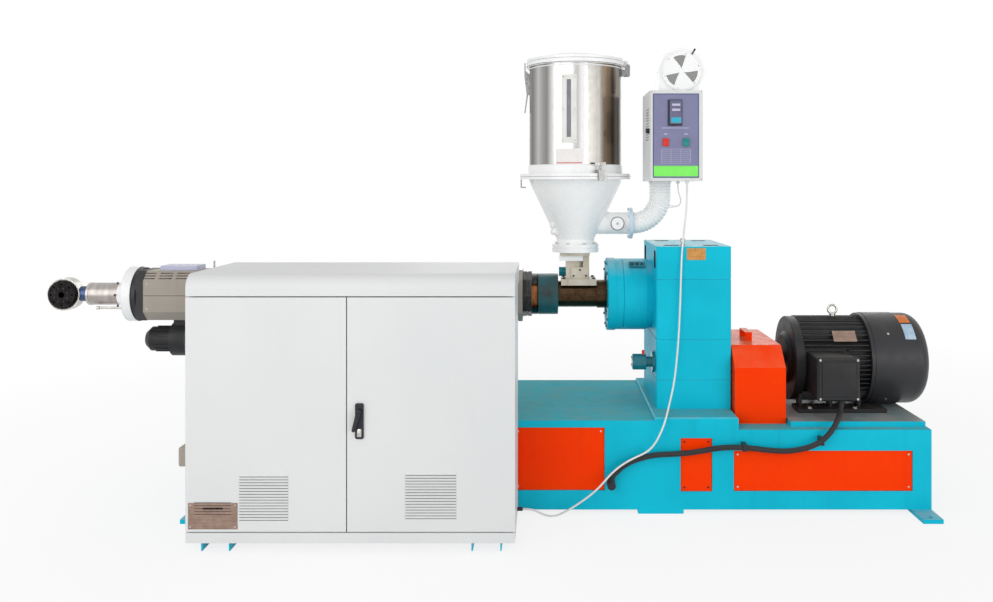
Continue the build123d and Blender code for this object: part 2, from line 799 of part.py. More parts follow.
# Hopper cone: a spun shell with its foot flange and its upper flange
with BuildPart() as hopper_cone:
    revolve(outline(hopper_plane, [
        (outlet_radius, hopper_foot_z), (hopper_foot_radius, hopper_foot_z),
        (hopper_foot_radius, hopper_foot_top), (hopper_neck_radius, hopper_foot_top),
        (hopper_neck_radius, cone_z[0]), (cone_radius, cone_z[1]), (cone_radius, cone_flange_z[0]),
        (cone_flange_radius, cone_flange_z[0]), (cone_flange_radius, cone_flange_z[1]),
        (cone_radius - sheet, cone_flange_z[1]), (cone_radius - sheet, cone_z[1]),
        (hopper_neck_radius - sheet, cone_z[0]), (outlet_radius, hopper_foot_top),
    ]), axis=hopper_axis)
    foot_seam_z = (hopper_foot_z + hopper_foot_top) / 2
    with BuildSketch(Plane.XY.offset(foot_seam_z)):
        with Locations((hopper_x, 0)):
            Circle(hopper_foot_radius + overrun)
            Circle(hopper_foot_radius - hopper_foot_groove, mode=Mode.SUBTRACT)
    extrude(amount=hopper_foot_groove, mode=Mode.SUBTRACT)
finish(hopper_cone, "hopper_cone")

# Hopper drum: a polished shell on its collar
with BuildPart() as hopper_drum:
    revolve(outline(hopper_plane, [
        (drum_radius - sheet, cone_flange_z[1]), (drum_collar_radius, cone_flange_z[1]),
        (drum_collar_radius, drum_collar_top), (drum_radius, drum_collar_top), (drum_radius, drum_top),
        (drum_radius - sheet, drum_top),
    ]), axis=hopper_axis)
finish(hopper_drum, "hopper_drum")

# Sight glass: a curved frame with its long slot
with BuildPart() as sight_glass:
    with BuildSketch(Plane.XY.offset(sight_z[0])):
        with Locations((hopper_x, 0)):
            Circle(drum_radius + sight_thick)
            Circle(drum_radius + seat, mode=Mode.SUBTRACT)
    extrude(amount=sight_z[1] - sight_z[0])
    with Locations(Location((hopper_x, 0, sum(sight_z) / 2), (0, 0, sight_angle))):
        Box(sight_width, drum_radius + overrun + sight_thick, sight_z[1] - sight_z[0],
            align=(Align.CENTER, Align.MAX, Align.CENTER), mode=Mode.INTERSECT)
    with Locations(Location((hopper_x, 0, sum(sight_slot_z) / 2), (0, 0, sight_angle))):
        with Locations((0, -(drum_radius + sight_thick - sight_slot_depth), 0)):
            Box(sight_slot_width, drum_radius, sight_slot_z[1] - sight_slot_z[0],
                align=(Align.CENTER, Align.MAX, Align.CENTER), mode=Mode.SUBTRACT)
finish(sight_glass, "sight_glass")

# Hopper lid: a domed shell with a rim and the hinge's lug
with BuildPart() as hopper_lid:
    rim_top = lid_bottom + lid_rim_height
    crown_top = rim_top + lid_step / 2 + lid_crown_rise
    with BuildSketch(hopper_plane):
        with BuildLine():
            crown = dome_arc(lid_radius - lid_step, rim_top + lid_step / 2, crown_top)
            inner = dome_arc(lid_radius - lid_step - sheet, rim_top + lid_step / 2 - sheet,
                             crown_top - sheet)
            Line(crown @ 1, inner @ 1)
            Polyline(crown @ 0, (lid_radius, rim_top), (lid_radius, lid_bottom),
                     (drum_radius - 2 * sheet, lid_bottom), (drum_radius - 2 * sheet, rim_top - sheet),
                     inner @ 0)
        make_face()
    revolve(axis=hopper_axis)
    with BuildSketch(Plane.XZ) as lug:
        with Locations((hinge_x, hinge_z)):
            Circle(hinge_ear_radius)
        with Locations(((hinge_x + hopper_x + lid_radius - sheet) / 2, (lid_bottom + rim_top) / 2)):
            Rectangle(hinge_x - hopper_x - lid_radius + sheet, lid_rim_height - sheet)
        with Locations((hinge_x, hinge_z)):
            Circle(hinge_pin_radius + pin_gap, mode=Mode.SUBTRACT)
    extrude(amount=hinge_lug_half, both=True)
finish(hopper_lid, "hopper_lid")

# Fittings on the hopper: hinge bracket with its pin, toggle latch, wing clamp and hook
drum_right = hopper_x + drum_radius + seat
drum_left = hopper_x - drum_radius - seat
ear_inner = hinge_lug_half + hinge_side_gap
with BuildPart() as hopper_hardware:
    for side in (-1, 1):
        ear_plane = Plane.XZ.offset(side * ear_inner)
        with BuildSketch(ear_plane):
            with Locations((hinge_x, hinge_z)):
                Circle(hinge_ear_radius)
            with BuildLine():
                Polyline(
                    (drum_right, hinge_foot_z), (hinge_x + hinge_ear_radius, hinge_foot_z),
                    (hinge_x + hinge_ear_radius, hinge_z), (hinge_x - hinge_ear_radius, hinge_z),
                    (hinge_x - hinge_ear_radius, drum_top - hinge_bracket_drop),
                    (drum_right, drum_top - hinge_bracket_drop), close=True)
            make_face()
        extrude(amount=side * hinge_ear_thick)
    slab((drum_right, drum_right + hinge_foot_thick), (-ear_inner, ear_inner),
         (hinge_foot_z, drum_top - 2 * hinge_ear_radius))
    rod_y((-ear_inner, ear_inner), hinge_pin_radius, hinge_x, hinge_z)
    latch_left = drum_left - latch_reach
    with BuildSketch(Plane.XZ):
        with BuildLine():
            Polyline(
                (drum_left, latch_z[1]), (drum_left, latch_z[2]),
                (latch_left + latch_wire, drum_top - latch_half), (latch_left + latch_wire, latch_z[3]),
                (latch_left, latch_z[3]), (latch_left, latch_z[2] - latch_half),
                (latch_left + 2 * latch_wire, latch_z[1]), (latch_left, latch_z[0]),
                (latch_left + latch_wire, latch_z[0]), (drum_left - latch_wire, latch_z[1]), close=True)
        make_face()
    extrude(amount=latch_half, both=True)
    wing_top = cone_flange_z[1] + wing_height
    with Locations(Location((hopper_x, 0, cone_flange_z[1]), (0, 0, wing_angle))):
        with Locations((0, -cone_flange_radius - seat, 0)):
            Box(wing_base[0], wing_base[1], wing_base[2],
                align=(Align.CENTER, Align.MIN, Align.MIN))
            with Locations((0, 0, wing_base[2])):
                Box(wing_base[0], wing_lip, wing_base[2] + wing_lip_drop,
                    align=(Align.CENTER, Align.MAX, Align.MAX))
            with Locations((0, wing_base[1] / 2, 0)):
                Cylinder(wing_rod_radius, wing_height, align=(Align.CENTER, Align.CENTER, Align.MIN))
                with Locations((0, 0, wing_height - wing_size[2])):
                    Box(*wing_size, align=(Align.CENTER, Align.CENTER, Align.MIN))
    slab((hook_x, hook_x + hook_thick), (-hook_half, hook_half),
         (cone_flange_z[0] - hook_drop, cone_flange_z[0]))
    slab((hook_x, hook_x + hook_foot), (-hook_half, hook_half),
         (cone_flange_z[0] - hook_drop, cone_flange_z[0] - hook_drop + hook_thick))
finish(hopper_hardware, "hopper_hardware")

# Air inlet: the pipe that meets the cone, its flange and its round inspection cap
with BuildPart() as air_inlet:
    rod_x((hopper_x, air_flange_x[0]), inlet_radius, 0, air_z)
    rod_x(air_flange_x, air_flange_radius, 0, air_z)
    rod_y((inspection_front, 0), inspection_radius, inspection_x, air_z)
    chamfer(air_inlet.edges().filter_by(GeomType.CIRCLE).sort_by(Axis.Y)[0], sheet)
    revolve(outline(hopper_plane, [
        (0, hopper_foot_z), (hopper_neck_radius + seat, hopper_foot_z), (hopper_neck_radius + seat, cone_z[0]),
        (cone_radius + seat, cone_z[1]), (0, cone_z[1]),
    ]), axis=hopper_axis, mode=Mode.SUBTRACT)
finish(air_inlet, "air_inlet")

# Corrugated elbow from the inlet's flange up to the dryer box
elbow_start = elbow_x - elbow_bend
elbow_centre_z = air_z + elbow_bend
bend_length = elbow_bend * radians(90)
elbow_length = (elbow_start - air_flange_x[1]) + bend_length + dryer_z[0] - elbow_centre_z


def elbow_plane(distance):
    """The plane across the elbow's centre line at a distance from the flange."""
    along_bend = distance - (elbow_start - air_flange_x[1])
    if along_bend <= 0:
        return Plane((air_flange_x[1] + distance, 0, air_z), x_dir=(0, 1, 0), z_dir=(1, 0, 0))
    if along_bend >= bend_length:
        rise = along_bend - bend_length
        return Plane((elbow_x, 0, elbow_centre_z + rise), x_dir=(0, 1, 0), z_dir=(0, 0, 1))
    turn = along_bend / elbow_bend
    centre = (elbow_start + elbow_bend * sin(turn), 0, elbow_centre_z - elbow_bend * cos(turn))
    return Plane(centre, x_dir=(0, 1, 0), z_dir=(cos(turn), 0, sin(turn)))


with BuildPart() as air_elbow:
    for station in range(2 * corrugations + 1):
        with BuildSketch(elbow_plane(station * elbow_length / (2 * corrugations))):
            Circle(elbow_valley if station % 2 else elbow_radius)
    loft(ruled=True)
    port_x = elbow_x + elbow_valley
    rod_x((elbow_x, port_x + sensor_port_length), sensor_port_radius, sensor_lead_route[-1][1],
          sensor_lead_route[-1][2])
finish(air_elbow, "air_elbow")

# Dryer box: the sheet case with vents in its left side and a cable gland below
with BuildPart() as dryer_box:
    slab(dryer_x, dryer_y, dryer_z)
    fillet(dryer_box.edges().filter_by(Axis.Z), dryer_edge)
    for vent in range(vent_count):
        vent_low = vent_z + vent * vent_pitch
        slab((dryer_x[0] - overrun, dryer_x[0] + vent_depth), vent_y, (vent_low, vent_low + vent_height),
             mode=Mode.SUBTRACT)
    for gland_point in (dryer_cable_route[0], sensor_lead_route[0]):
        rod_z((gland_point[2], dryer_z[0]), box_gland_radius, gland_point[0], gland_point[1])
finish(dryer_box, "dryer_box")

# Dryer panel, with its controls and the knob on the left side
panel_front = dryer_y[0] - dryer_panel_thick
with BuildPart() as dryer_panel:
    with BuildSketch(Plane.XZ.offset(-dryer_y[0])):
        with Locations((sum(panel_x) / 2, sum(panel_z) / 2)):
            RectangleRounded(panel_x[1] - panel_x[0], panel_z[1] - panel_z[0], dryer_panel_round)
    extrude(amount=dryer_panel_thick)
finish(dryer_panel, "dryer_panel")
with BuildPart() as dryer_controls:
    slab(display_x, (panel_front - display_proud, panel_front), display_z)
    for centre in switch_x:
        slab((centre - switch_width / 2, centre + switch_width / 2), (panel_front - switch_proud, panel_front),
             switch_z)
    rod_x((dryer_x[0] - side_knob_length, dryer_x[0]), side_knob_radius, side_knob_y, side_knob_z)
finish(dryer_controls, "dryer_controls")

# Dryer blower: scroll case with its outlet on the box, the pierced face and the fan's motor
with BuildPart() as dryer_blower:
    rod_y(fan_case_y, fan_case_radius, fan_x, fan_z)
    slab(fan_outlet_x, fan_case_y, (dryer_z[1], fan_z))
    for lug_angle in range(fan_lug_count):
        around = radians(lug_angle * 360 / fan_lug_count)
        rod_y((fan_case_y[0], fan_case_y[0] + 2 * sheet), fan_lug_radius,
              fan_x + fan_case_radius * cos(around), fan_z + fan_case_radius * sin(around))
    rod_y((fan_case_y[1], fan_motor_back), fan_motor_radius, fan_x, fan_z)
    slab((fan_x - fan_case_radius, fan_x + 2 * fan_case_radius), (fan_face_y[0], fan_motor_back),
         (dryer_z[1] - fan_case_radius, dryer_z[1]), mode=Mode.SUBTRACT)
    slab((fan_x - 2 * fan_case_radius, fan_x), (fan_face_y[0], fan_motor_back),
         (dryer_z[1] - fan_case_radius, dryer_z[1]), mode=Mode.SUBTRACT)
    rod_y(fan_face_y, fan_face_radius, fan_x, fan_z)
    with BuildSketch(Plane.XZ.offset(-fan_face_y[0])):
        with Locations((fan_x, fan_z)):
            for blade in range(fan_blade_count):
                lead = 90 + blade * 360 / fan_blade_count
                inner, outer = fan_blade_radii
                root = (inner * cos(radians(lead)), inner * sin(radians(lead)))
                sweep_points = [(outer * cos(radians(lead + turn)), outer * sin(radians(lead + turn)))
                                for turn in (fan_blade_sweep[0], sum(fan_blade_sweep) / 2, fan_blade_sweep[1])]
                with BuildLine():
                    Line(root, sweep_points[0])
                    ThreePointArc(*sweep_points)
                    Line(sweep_points[2], root)
                make_face()
    extrude(amount=-fan_blade_depth, mode=Mode.SUBTRACT)
finish(dryer_blower, "dryer_blower")

# Coupling guard: a folded hood with a strap handle on its top
with BuildPart() as coupling_guard:
    guard_top_half = guard_half - (guard_top - guard_side_top)
    extrude(outline(Plane.YZ.offset(guard_x[0]), [
        (-guard_half, motor_deck_z), (guard_half, motor_deck_z), (guard_half, guard_side_top),
        (guard_top_half, guard_top), (-guard_top_half, guard_top), (-guard_half, guard_side_top),
    ]), amount=guard_x[1] - guard_x[0])
    slab(handle_x, handle_y, (guard_top, guard_top + handle_height))
    slab((handle_x[0] - overrun, handle_x[1] + overrun), (handle_y[0] + handle_thick, handle_y[1] - handle_thick),
         (guard_top, guard_top + handle_height - handle_thick), mode=Mode.SUBTRACT)
finish(coupling_guard, "coupling_guard")

# Coupling: what shows of the shaft and its hub at the two ends of the guard
with BuildPart() as coupling:
    rod_x((gearbox_length, guard_x[0]), shaft_radius, 0, motor_z)
    revolve(outline(motor_plane, [
        (guard_x[1], 0), (guard_x[1], hub_radius), (guard_x[1] + hub_length - hub_edge, hub_radius),
        (guard_x[1] + hub_length, hub_radius - hub_edge), (guard_x[1] + hub_length, shaft_radius),
        (shield_x[0] - shield_nose_length, shaft_radius), (shield_x[0] - shield_nose_length, 0),
    ]), axis=motor_axis)
finish(coupling, "coupling")

# Motor: end shield, core with its four fields of cooling fins, feet and the eye's boss
with BuildPart() as motor_body:
    revolve(outline(motor_plane, [
        (shield_x[0] - shield_nose_length, 0), (shield_x[0] - shield_nose_length, shield_nose_radius),
        (shield_x[0], shield_nose_radius + shield_nose_length), (shield_x[0], shield_radius - housing_step),
        (shield_x[0] + housing_step, shield_radius), (shield_x[1], shield_radius),
        (shield_x[1], motor_core_radius), (fin_end, motor_core_radius), (fin_end, 0),
    ]), axis=motor_axis)
    with BuildSketch(Plane.YZ.offset(shield_x[1])):
        with Locations((0, motor_z)):
            for row in range(-fin_rows, fin_rows + 1):
                offset_in = row * fin_pitch
                root = sqrt(motor_core_radius ** 2 - offset_in ** 2) - fin_thick
                tip = sqrt(fin_radius ** 2 - offset_in ** 2)
                for side in (-1, 1):
                    with Locations((side * (root + tip) / 2, offset_in)):
                        Rectangle(tip - root, fin_thick)
                    with Locations((offset_in, side * (root + tip) / 2)):
                        Rectangle(fin_thick, tip - root)
            Circle(fin_radius, mode=Mode.INTERSECT)
    extrude(amount=fin_end - shield_x[1])
    slab((terminal_x[0] - terminal_clear, terminal_x[1] + terminal_clear), (-fin_radius - overrun, 0),
         (terminal_z[0] - terminal_clear, terminal_z[1] + terminal_clear), mode=Mode.SUBTRACT)
    rod_x(shield_x, motor_core_radius, 0, motor_z)
    rod_x((shield_x[1], fin_end), motor_core_radius, 0, motor_z)
    for side in (-1, 1):
        foot_y = sorted((side * motor_foot_inner, side * motor_foot_half))
        slab(motor_feet_x, foot_y, (motor_seat_z, motor_seat_z + motor_foot_height))
        for web_x in motor_web_x:
            web_y = sorted((side * (motor_foot_inner + motor_web_inset),
                            side * (motor_core_radius - motor_web_inset)))
            slab((web_x - motor_web_thick / 2, web_x + motor_web_thick / 2), web_y,
                 (motor_seat_z + motor_foot_height, terminal_z[0] - 2 * terminal_clear))
    rod_z((motor_z + motor_core_radius - eye_boss_radius, eye_boss_z), eye_boss_radius, eye_x, 0)
finish(motor_body, "motor_body")

# Motor cowl: the rounded fan cover, with ring grooves in its end
with BuildPart() as motor_cowl:
    with BuildSketch(motor_plane):
        with BuildLine():
            shoulder = ThreePointArc(
                (cowl_shoulder, cowl_radius),
                (cowl_shoulder + (cowl_end - cowl_shoulder) * sin(radians(45)),
                 cowl_nose_radius + (cowl_radius - cowl_nose_radius) * cos(radians(45))),
                (cowl_end, cowl_nose_radius))
            Polyline(shoulder @ 1, (cowl_end, 0), (fin_end, 0), (fin_end, fin_radius),
                     (fin_end - cowl_lip, fin_radius + seat), (fin_end - cowl_lip, cowl_radius),
                     shoulder @ 0)
        make_face()
    revolve(axis=motor_axis)
    for groove_radius in cowl_groove_radii:
        with BuildSketch(Plane.YZ.offset(cowl_end)):
            with Locations((0, motor_z)):
                Circle(groove_radius + cowl_groove_width)
                Circle(groove_radius, mode=Mode.SUBTRACT)
        extrude(amount=-cowl_groove_depth, mode=Mode.SUBTRACT)
finish(motor_cowl, "motor_cowl")

# Terminal box on the motor's front side, with its lid and the conduit's gland
with BuildPart() as terminal_box:
    lid_back = terminal_y[0] + terminal_lid_thick
    with BuildSketch(Plane.XZ.offset(-lid_back)):
        with Locations((sum(terminal_x) / 2, sum(terminal_z) / 2)):
            RectangleRounded(terminal_x[1] - terminal_x[0] - 2 * terminal_lid_gap,
                             terminal_z[1] - terminal_z[0] - 2 * terminal_lid_gap, terminal_round)
    extrude(amount=lid_back - terminal_y[1])
    with BuildSketch(Plane.XZ.offset(-lid_back)) as lid_outline:
        with Locations((sum(terminal_x) / 2, sum(terminal_z) / 2)):
            RectangleRounded(terminal_x[1] - terminal_x[0], terminal_z[1] - terminal_z[0], terminal_round)
    extrude(amount=terminal_lid_thick)
    chamfer(terminal_box.faces().sort_by(Axis.Y)[0].edges(), terminal_lid_edge)
    rod_z((terminal_z[0] - gland_length, terminal_z[0] + terminal_lid_gap + overrun), gland_radius,
          gland_x, gland_y)
    rod_x((terminal_x[0] - overrun, terminal_x[1] + overrun), motor_core_radius + seat, 0, motor_z,
          mode=Mode.SUBTRACT)
    add(cord_tube(conduit_route, conduit_diameter + 2 * seat)[0].part, mode=Mode.SUBTRACT)
finish(terminal_box, "terminal_box")

# Lifting eye screwed into the motor's boss
with BuildPart() as motor_eye:
    rod_z((eye_boss_z, eye_boss_z + eye_stem_height), eye_major - eye_wire, eye_x, 0)
    eye_centre_z = eye_boss_z + eye_stem_height + eye_major
    with Locations(Location((eye_x, 0, eye_centre_z), (90, 0, 0))):
        Torus(eye_major, eye_wire)
finish(motor_eye, "motor_eye")

# Cabinet body: plinth, folded side sheets and back, all open to the front
left_axis_x = cabinet_x[0] + door_inset
right_axis_x = cabinet_x[1] - door_inset
with BuildPart() as cabinet_plinth:
    slab(cabinet_x, (cabinet_front, cabinet_back_y), plinth_z)
    for axis_x in (left_axis_x, right_axis_x):
        rod_z((plinth_z[1] - door_pin_length, plinth_z[1] + overrun), door_pin_radius + pin_gap, axis_x,
              door_axis_y, mode=Mode.SUBTRACT)
finish(cabinet_plinth, "cabinet_plinth")

for name, wall_x, inward in (("cabinet_left_side", cabinet_x[0], 1), ("cabinet_right_side", cabinet_x[1], -1)):
    with BuildPart() as side_sheet:
        slab(sorted((wall_x, wall_x + inward * cabinet_sheet)), (body_front, cabinet_back_y),
             (plinth_z[1], hood_z[0]))
        slab(sorted((wall_x, wall_x + inward * cabinet_flange)), (body_front, body_front + cabinet_sheet),
             (plinth_z[1], hood_z[0]))
    finish(side_sheet, name)

with BuildPart() as cabinet_back:
    slab((cabinet_x[0] + cabinet_sheet, cabinet_x[1] - cabinet_sheet),
         (cabinet_back_y - cabinet_sheet, cabinet_back_y), (plinth_z[1], hood_z[0]))
finish(cabinet_back, "cabinet_back")

# Hood: rounded along its front top edge, reaching back over the base
with BuildPart() as cabinet_hood:
    slab(cabinet_x, (cabinet_front, hood_back), hood_z)
    fillet(cabinet_hood.edges().filter_by(Axis.X).group_by(Axis.Z)[-1].sort_by(Axis.Y)[0], hood_round)
    for axis_x in (left_axis_x, right_axis_x):
        rod_z((hood_z[0] - overrun, hood_z[0] + door_pin_length), door_pin_radius + pin_gap, axis_x,
              door_axis_y, mode=Mode.SUBTRACT)
finish(cabinet_hood, "cabinet_hood")

# Channels under the cabinet, and the small box on its left wall
with BuildPart() as cabinet_channels:
    for channel in channel_x:
        slab(channel, (channel_front, -base_half - seat), (0, plinth_z[0]))
        slab((channel[0] + channel_wall, channel[1] - channel_wall),
             (channel_front - overrun, -base_half), (-overrun, plinth_z[0] - channel_wall), mode=Mode.SUBTRACT)
finish(cabinet_channels, "cabinet_channels")
with BuildPart() as side_box:
    slab((side_box_x, cabinet_x[0]), side_box_y, side_box_z)
    chamfer(side_box.faces().sort_by(Axis.X)[0].edges(), side_box_edge)
finish(side_box, "side_box")

# Doors: folded pans with pressed louvres, turning on pins in the plinth and the hood
door_gap = turning_gap / 2
door_spans = {
    "left": (cabinet_x[0], door_split - door_gap),
    "right": (door_split + door_gap, cabinet_x[1]),
}
door_axes = {"left": left_axis_x, "right": right_axis_x}
for hand, door_x in door_spans.items():
    with BuildPart() as door:
        slab(door_x, (cabinet_front, door_back), door_z)
        slab((door_x[0] + door_rim, door_x[1] - door_rim), (cabinet_front + door_skin, door_back + overrun),
             (door_z[0] + door_rim, door_z[1] - door_rim), mode=Mode.SUBTRACT)
        slat_x, slat_z = louvre_x[hand], louvre_z[hand]
        slat_pitch = (slat_z[1] - slat_z[0]) / louvre_count
        for slat in range(louvre_count):
            low = slat_z[0] + slat * slat_pitch
            slab(slat_x, (cabinet_front - overrun, cabinet_front + door_skin + overrun),
                 (low, low + louvre_opening), mode=Mode.SUBTRACT)
            top = low + louvre_opening
            extrude(outline(Plane.YZ.offset(slat_x[0]), [
                (cabinet_front + door_skin, top), (cabinet_front + door_skin, top + louvre_sheet),
                (cabinet_front, top + louvre_sheet), (cabinet_front - louvre_proud, low + louvre_sheet),
                (cabinet_front - louvre_proud, low),
            ]), amount=slat_x[1] - slat_x[0])
        rod_z((door_z[0] - turning_gap - door_pin_length + door_gap, door_z[0]), door_pin_radius,
              door_axes[hand], door_axis_y)
        rod_z((door_z[1], door_z[1] + turning_gap + door_pin_length - door_gap), door_pin_radius,
              door_axes[hand], door_axis_y)
    finish(door, f"{hand}_door")

# Handle plate on the right door, and the lever that turns on its pin
plate_front = cabinet_front - handle_plate_proud
with BuildPart() as handle_plate:
    with BuildSketch(Plane.XZ.offset(-cabinet_front)):
        with Locations((handle_plate_x, handle_plate_z)):
            RectangleRounded(*handle_plate_size, handle_plate_round)
    extrude(amount=handle_plate_proud)
    rod_y((lever_y[0], plate_front), lever_pin_radius, handle_plate_x, lever_pivot_z)
finish(handle_plate, "handle_plate")
with BuildPart() as door_lever:
    tilt = radians(lever_tilt)
    tip = (handle_plate_x - lever_length * sin(tilt), lever_pivot_z - lever_length * cos(tilt))
    with BuildSketch(Plane.XZ.offset(-lever_y[1])):
        with Locations((handle_plate_x, lever_pivot_z)):
            Circle(lever_radius)
        with Locations(tip):
            Circle(lever_tip_radius)
        make_hull()
        with Locations((handle_plate_x, lever_pivot_z)):
            Circle(lever_pin_radius + pin_gap, mode=Mode.SUBTRACT)
    extrude(amount=lever_y[1] - lever_y[0])
    with BuildSketch(Plane.XZ.offset(-lever_y[1])):
        with Locations((handle_plate_x, lever_pivot_z)):
            Circle(lever_radius)
            Circle(lever_pin_radius + pin_gap, mode=Mode.SUBTRACT)
    extrude(amount=-(plate_front - lever_hub_gap - lever_y[1]))
finish(door_lever, "door_lever")

# Cable fittings: the cabinet's gland, the base's angled gland and the conduit's two clips
with BuildPart() as cable_fittings:
    rod_x((cabinet_x[1], cabinet_x[1] + cabinet_gland_length), cabinet_gland_radius, cabinet_gland_y,
          cabinet_gland_z)
    rod_y((conduit_y - base_gland_radius, -base_half), base_gland_radius, base_gland_x, base_gland_z)
    rod_z((base_gland_z, base_gland_top), base_gland_radius - clip_wall, base_gland_x, conduit_y)
    conduit_radius = conduit_diameter / 2
    for clip_centre, clip_height in zip(clip_x, clip_z):
        slab((clip_centre - clip_half, clip_centre + clip_half),
             (conduit_y - conduit_radius - clip_wall, -base_half),
             (clip_height - conduit_radius - clip_wall, clip_height + conduit_radius + clip_wall))
    add(cord_tube(conduit_route, conduit_diameter + 2 * seat)[0].part, mode=Mode.SUBTRACT)
finish(cable_fittings, "cable_fittings")

# Cords
cord(dryer_cable_route, dryer_cable_diameter, "dryer_cable")
cord(conduit_route, conduit_diameter, "motor_conduit")
cord(sensor_lead_route, sensor_lead_diameter, "sensor_lead")
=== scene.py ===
"""Looks of a single-screw plastic extruder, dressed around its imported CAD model.

The origin is on the floor under the screw, X runs along the screw towards the motor, Y towards
the back and Z up. Sizes in this file are millimetres unless a name ends in _m.
"""

import logging
from dataclasses import dataclass, field
from enum import Enum
from math import acos, cos, pi, radians, sin, tau
from typing import Any, Callable, Sequence

import bmesh
import bpy
from mathutils import Matrix, Vector


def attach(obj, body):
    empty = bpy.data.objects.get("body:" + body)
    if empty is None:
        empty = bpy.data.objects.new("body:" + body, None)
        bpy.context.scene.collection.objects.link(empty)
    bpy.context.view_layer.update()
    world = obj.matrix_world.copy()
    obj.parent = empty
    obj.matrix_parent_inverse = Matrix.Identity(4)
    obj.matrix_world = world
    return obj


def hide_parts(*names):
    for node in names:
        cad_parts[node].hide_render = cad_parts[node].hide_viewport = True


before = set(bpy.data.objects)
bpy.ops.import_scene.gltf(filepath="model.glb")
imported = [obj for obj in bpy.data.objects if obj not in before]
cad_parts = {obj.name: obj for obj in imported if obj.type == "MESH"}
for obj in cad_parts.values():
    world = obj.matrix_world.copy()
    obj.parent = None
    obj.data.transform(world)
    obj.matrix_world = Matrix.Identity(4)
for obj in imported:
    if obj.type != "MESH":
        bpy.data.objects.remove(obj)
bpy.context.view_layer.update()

log = logging.getLogger("extruder")

MM = 0.001
Node = bpy.types.Node
Piece = bpy.types.Object
Socket = bpy.types.NodeSocket
Tree = bpy.types.NodeTree
Pair = tuple[float, float]
Place = tuple[float, float, float]
COLOUR_MIX = "ShaderNodeMix"
SPECKLE_SEED = 7
ROUND_SIDES = 24
SCREW_Z = 1000.0


class Body(Enum):
    """The CAD bodies that pieces ride on."""

    MACHINE = "machine"
    LEFT_DOOR = "left_door"
    RIGHT_DOOR = "right_door"
    LEVER = "door_lever"
    LID = "hopper_lid"


class Side(Enum):
    """The ways that a face can look."""

    LEFT = (-1.0, 0.0, 0.0)
    RIGHT = (1.0, 0.0, 0.0)
    FRONT = (0.0, -1.0, 0.0)
    BACK = (0.0, 1.0, 0.0)
    UP = (0.0, 0.0, 1.0)

    @property
    def vector(self) -> Vector:
        """The side's unit vector."""
        return Vector(self.value)


class Head(Enum):
    """The kinds of fastener heads on the machine."""

    HEX = "hex_bolt"
    SOCKET = "socket_screw"
    PAN = "pan_screw"
    RIVET = "rivet"


class Grain(Enum):
    """The way that tool marks run on a metal, as how far a speckle is drawn out along X, Y and Z."""

    ALONG_X = (0.06, 1.0, 1.0)
    ROUND_X = (1.0, 0.12, 0.12)
    ROUND_Z = (0.12, 0.12, 1.0)
    EVEN = (1.0, 1.0, 1.0)


# Colour and nodes

def to_linear(colour: str) -> tuple[float, float, float, float]:
    """Turns an sRGB hex colour into the linear values that a shader reads.

    Args:
        colour: Six hex digits after a hash sign.

    Returns:
        Red, green, blue and an alpha of one.
    """
    channels = [int(colour[place:place + 2], 16) / 255 for place in (1, 3, 5)]
    red, green, blue = (
        value / 12.92 if value <= 0.04045 else ((value + 0.055) / 1.055) ** 2.4 for value in channels
    )
    return red, green, blue, 1.0


def add_node(tree: Tree, kind: str, settings: dict[Any, Any] | None = None,
             links: dict[Any, Socket] | None = None) -> Node:
    """Adds a node to a tree.

    Args:
        tree: The shader or geometry tree.
        kind: The node's type.
        settings: Values by property name, or else by the name or number of an input.
        links: What feeds an input, by its name or number.

    Returns:
        The new node.
    """
    node = tree.nodes.new(kind)
    for key, value in (settings or {}).items():
        if isinstance(key, str) and hasattr(node, key):
            setattr(node, key, value)
        else:
            node.inputs[key].default_value = value
    for key, source in (links or {}).items():
        tree.links.new(source, node.inputs[key])
    return node


def emptied(owner: bpy.types.Material | bpy.types.World) -> Tree:
    """Clears the nodes that a material or a world starts with, and gives its tree."""
    owner.use_nodes = True
    owner.node_tree.nodes.clear()
    return owner.node_tree


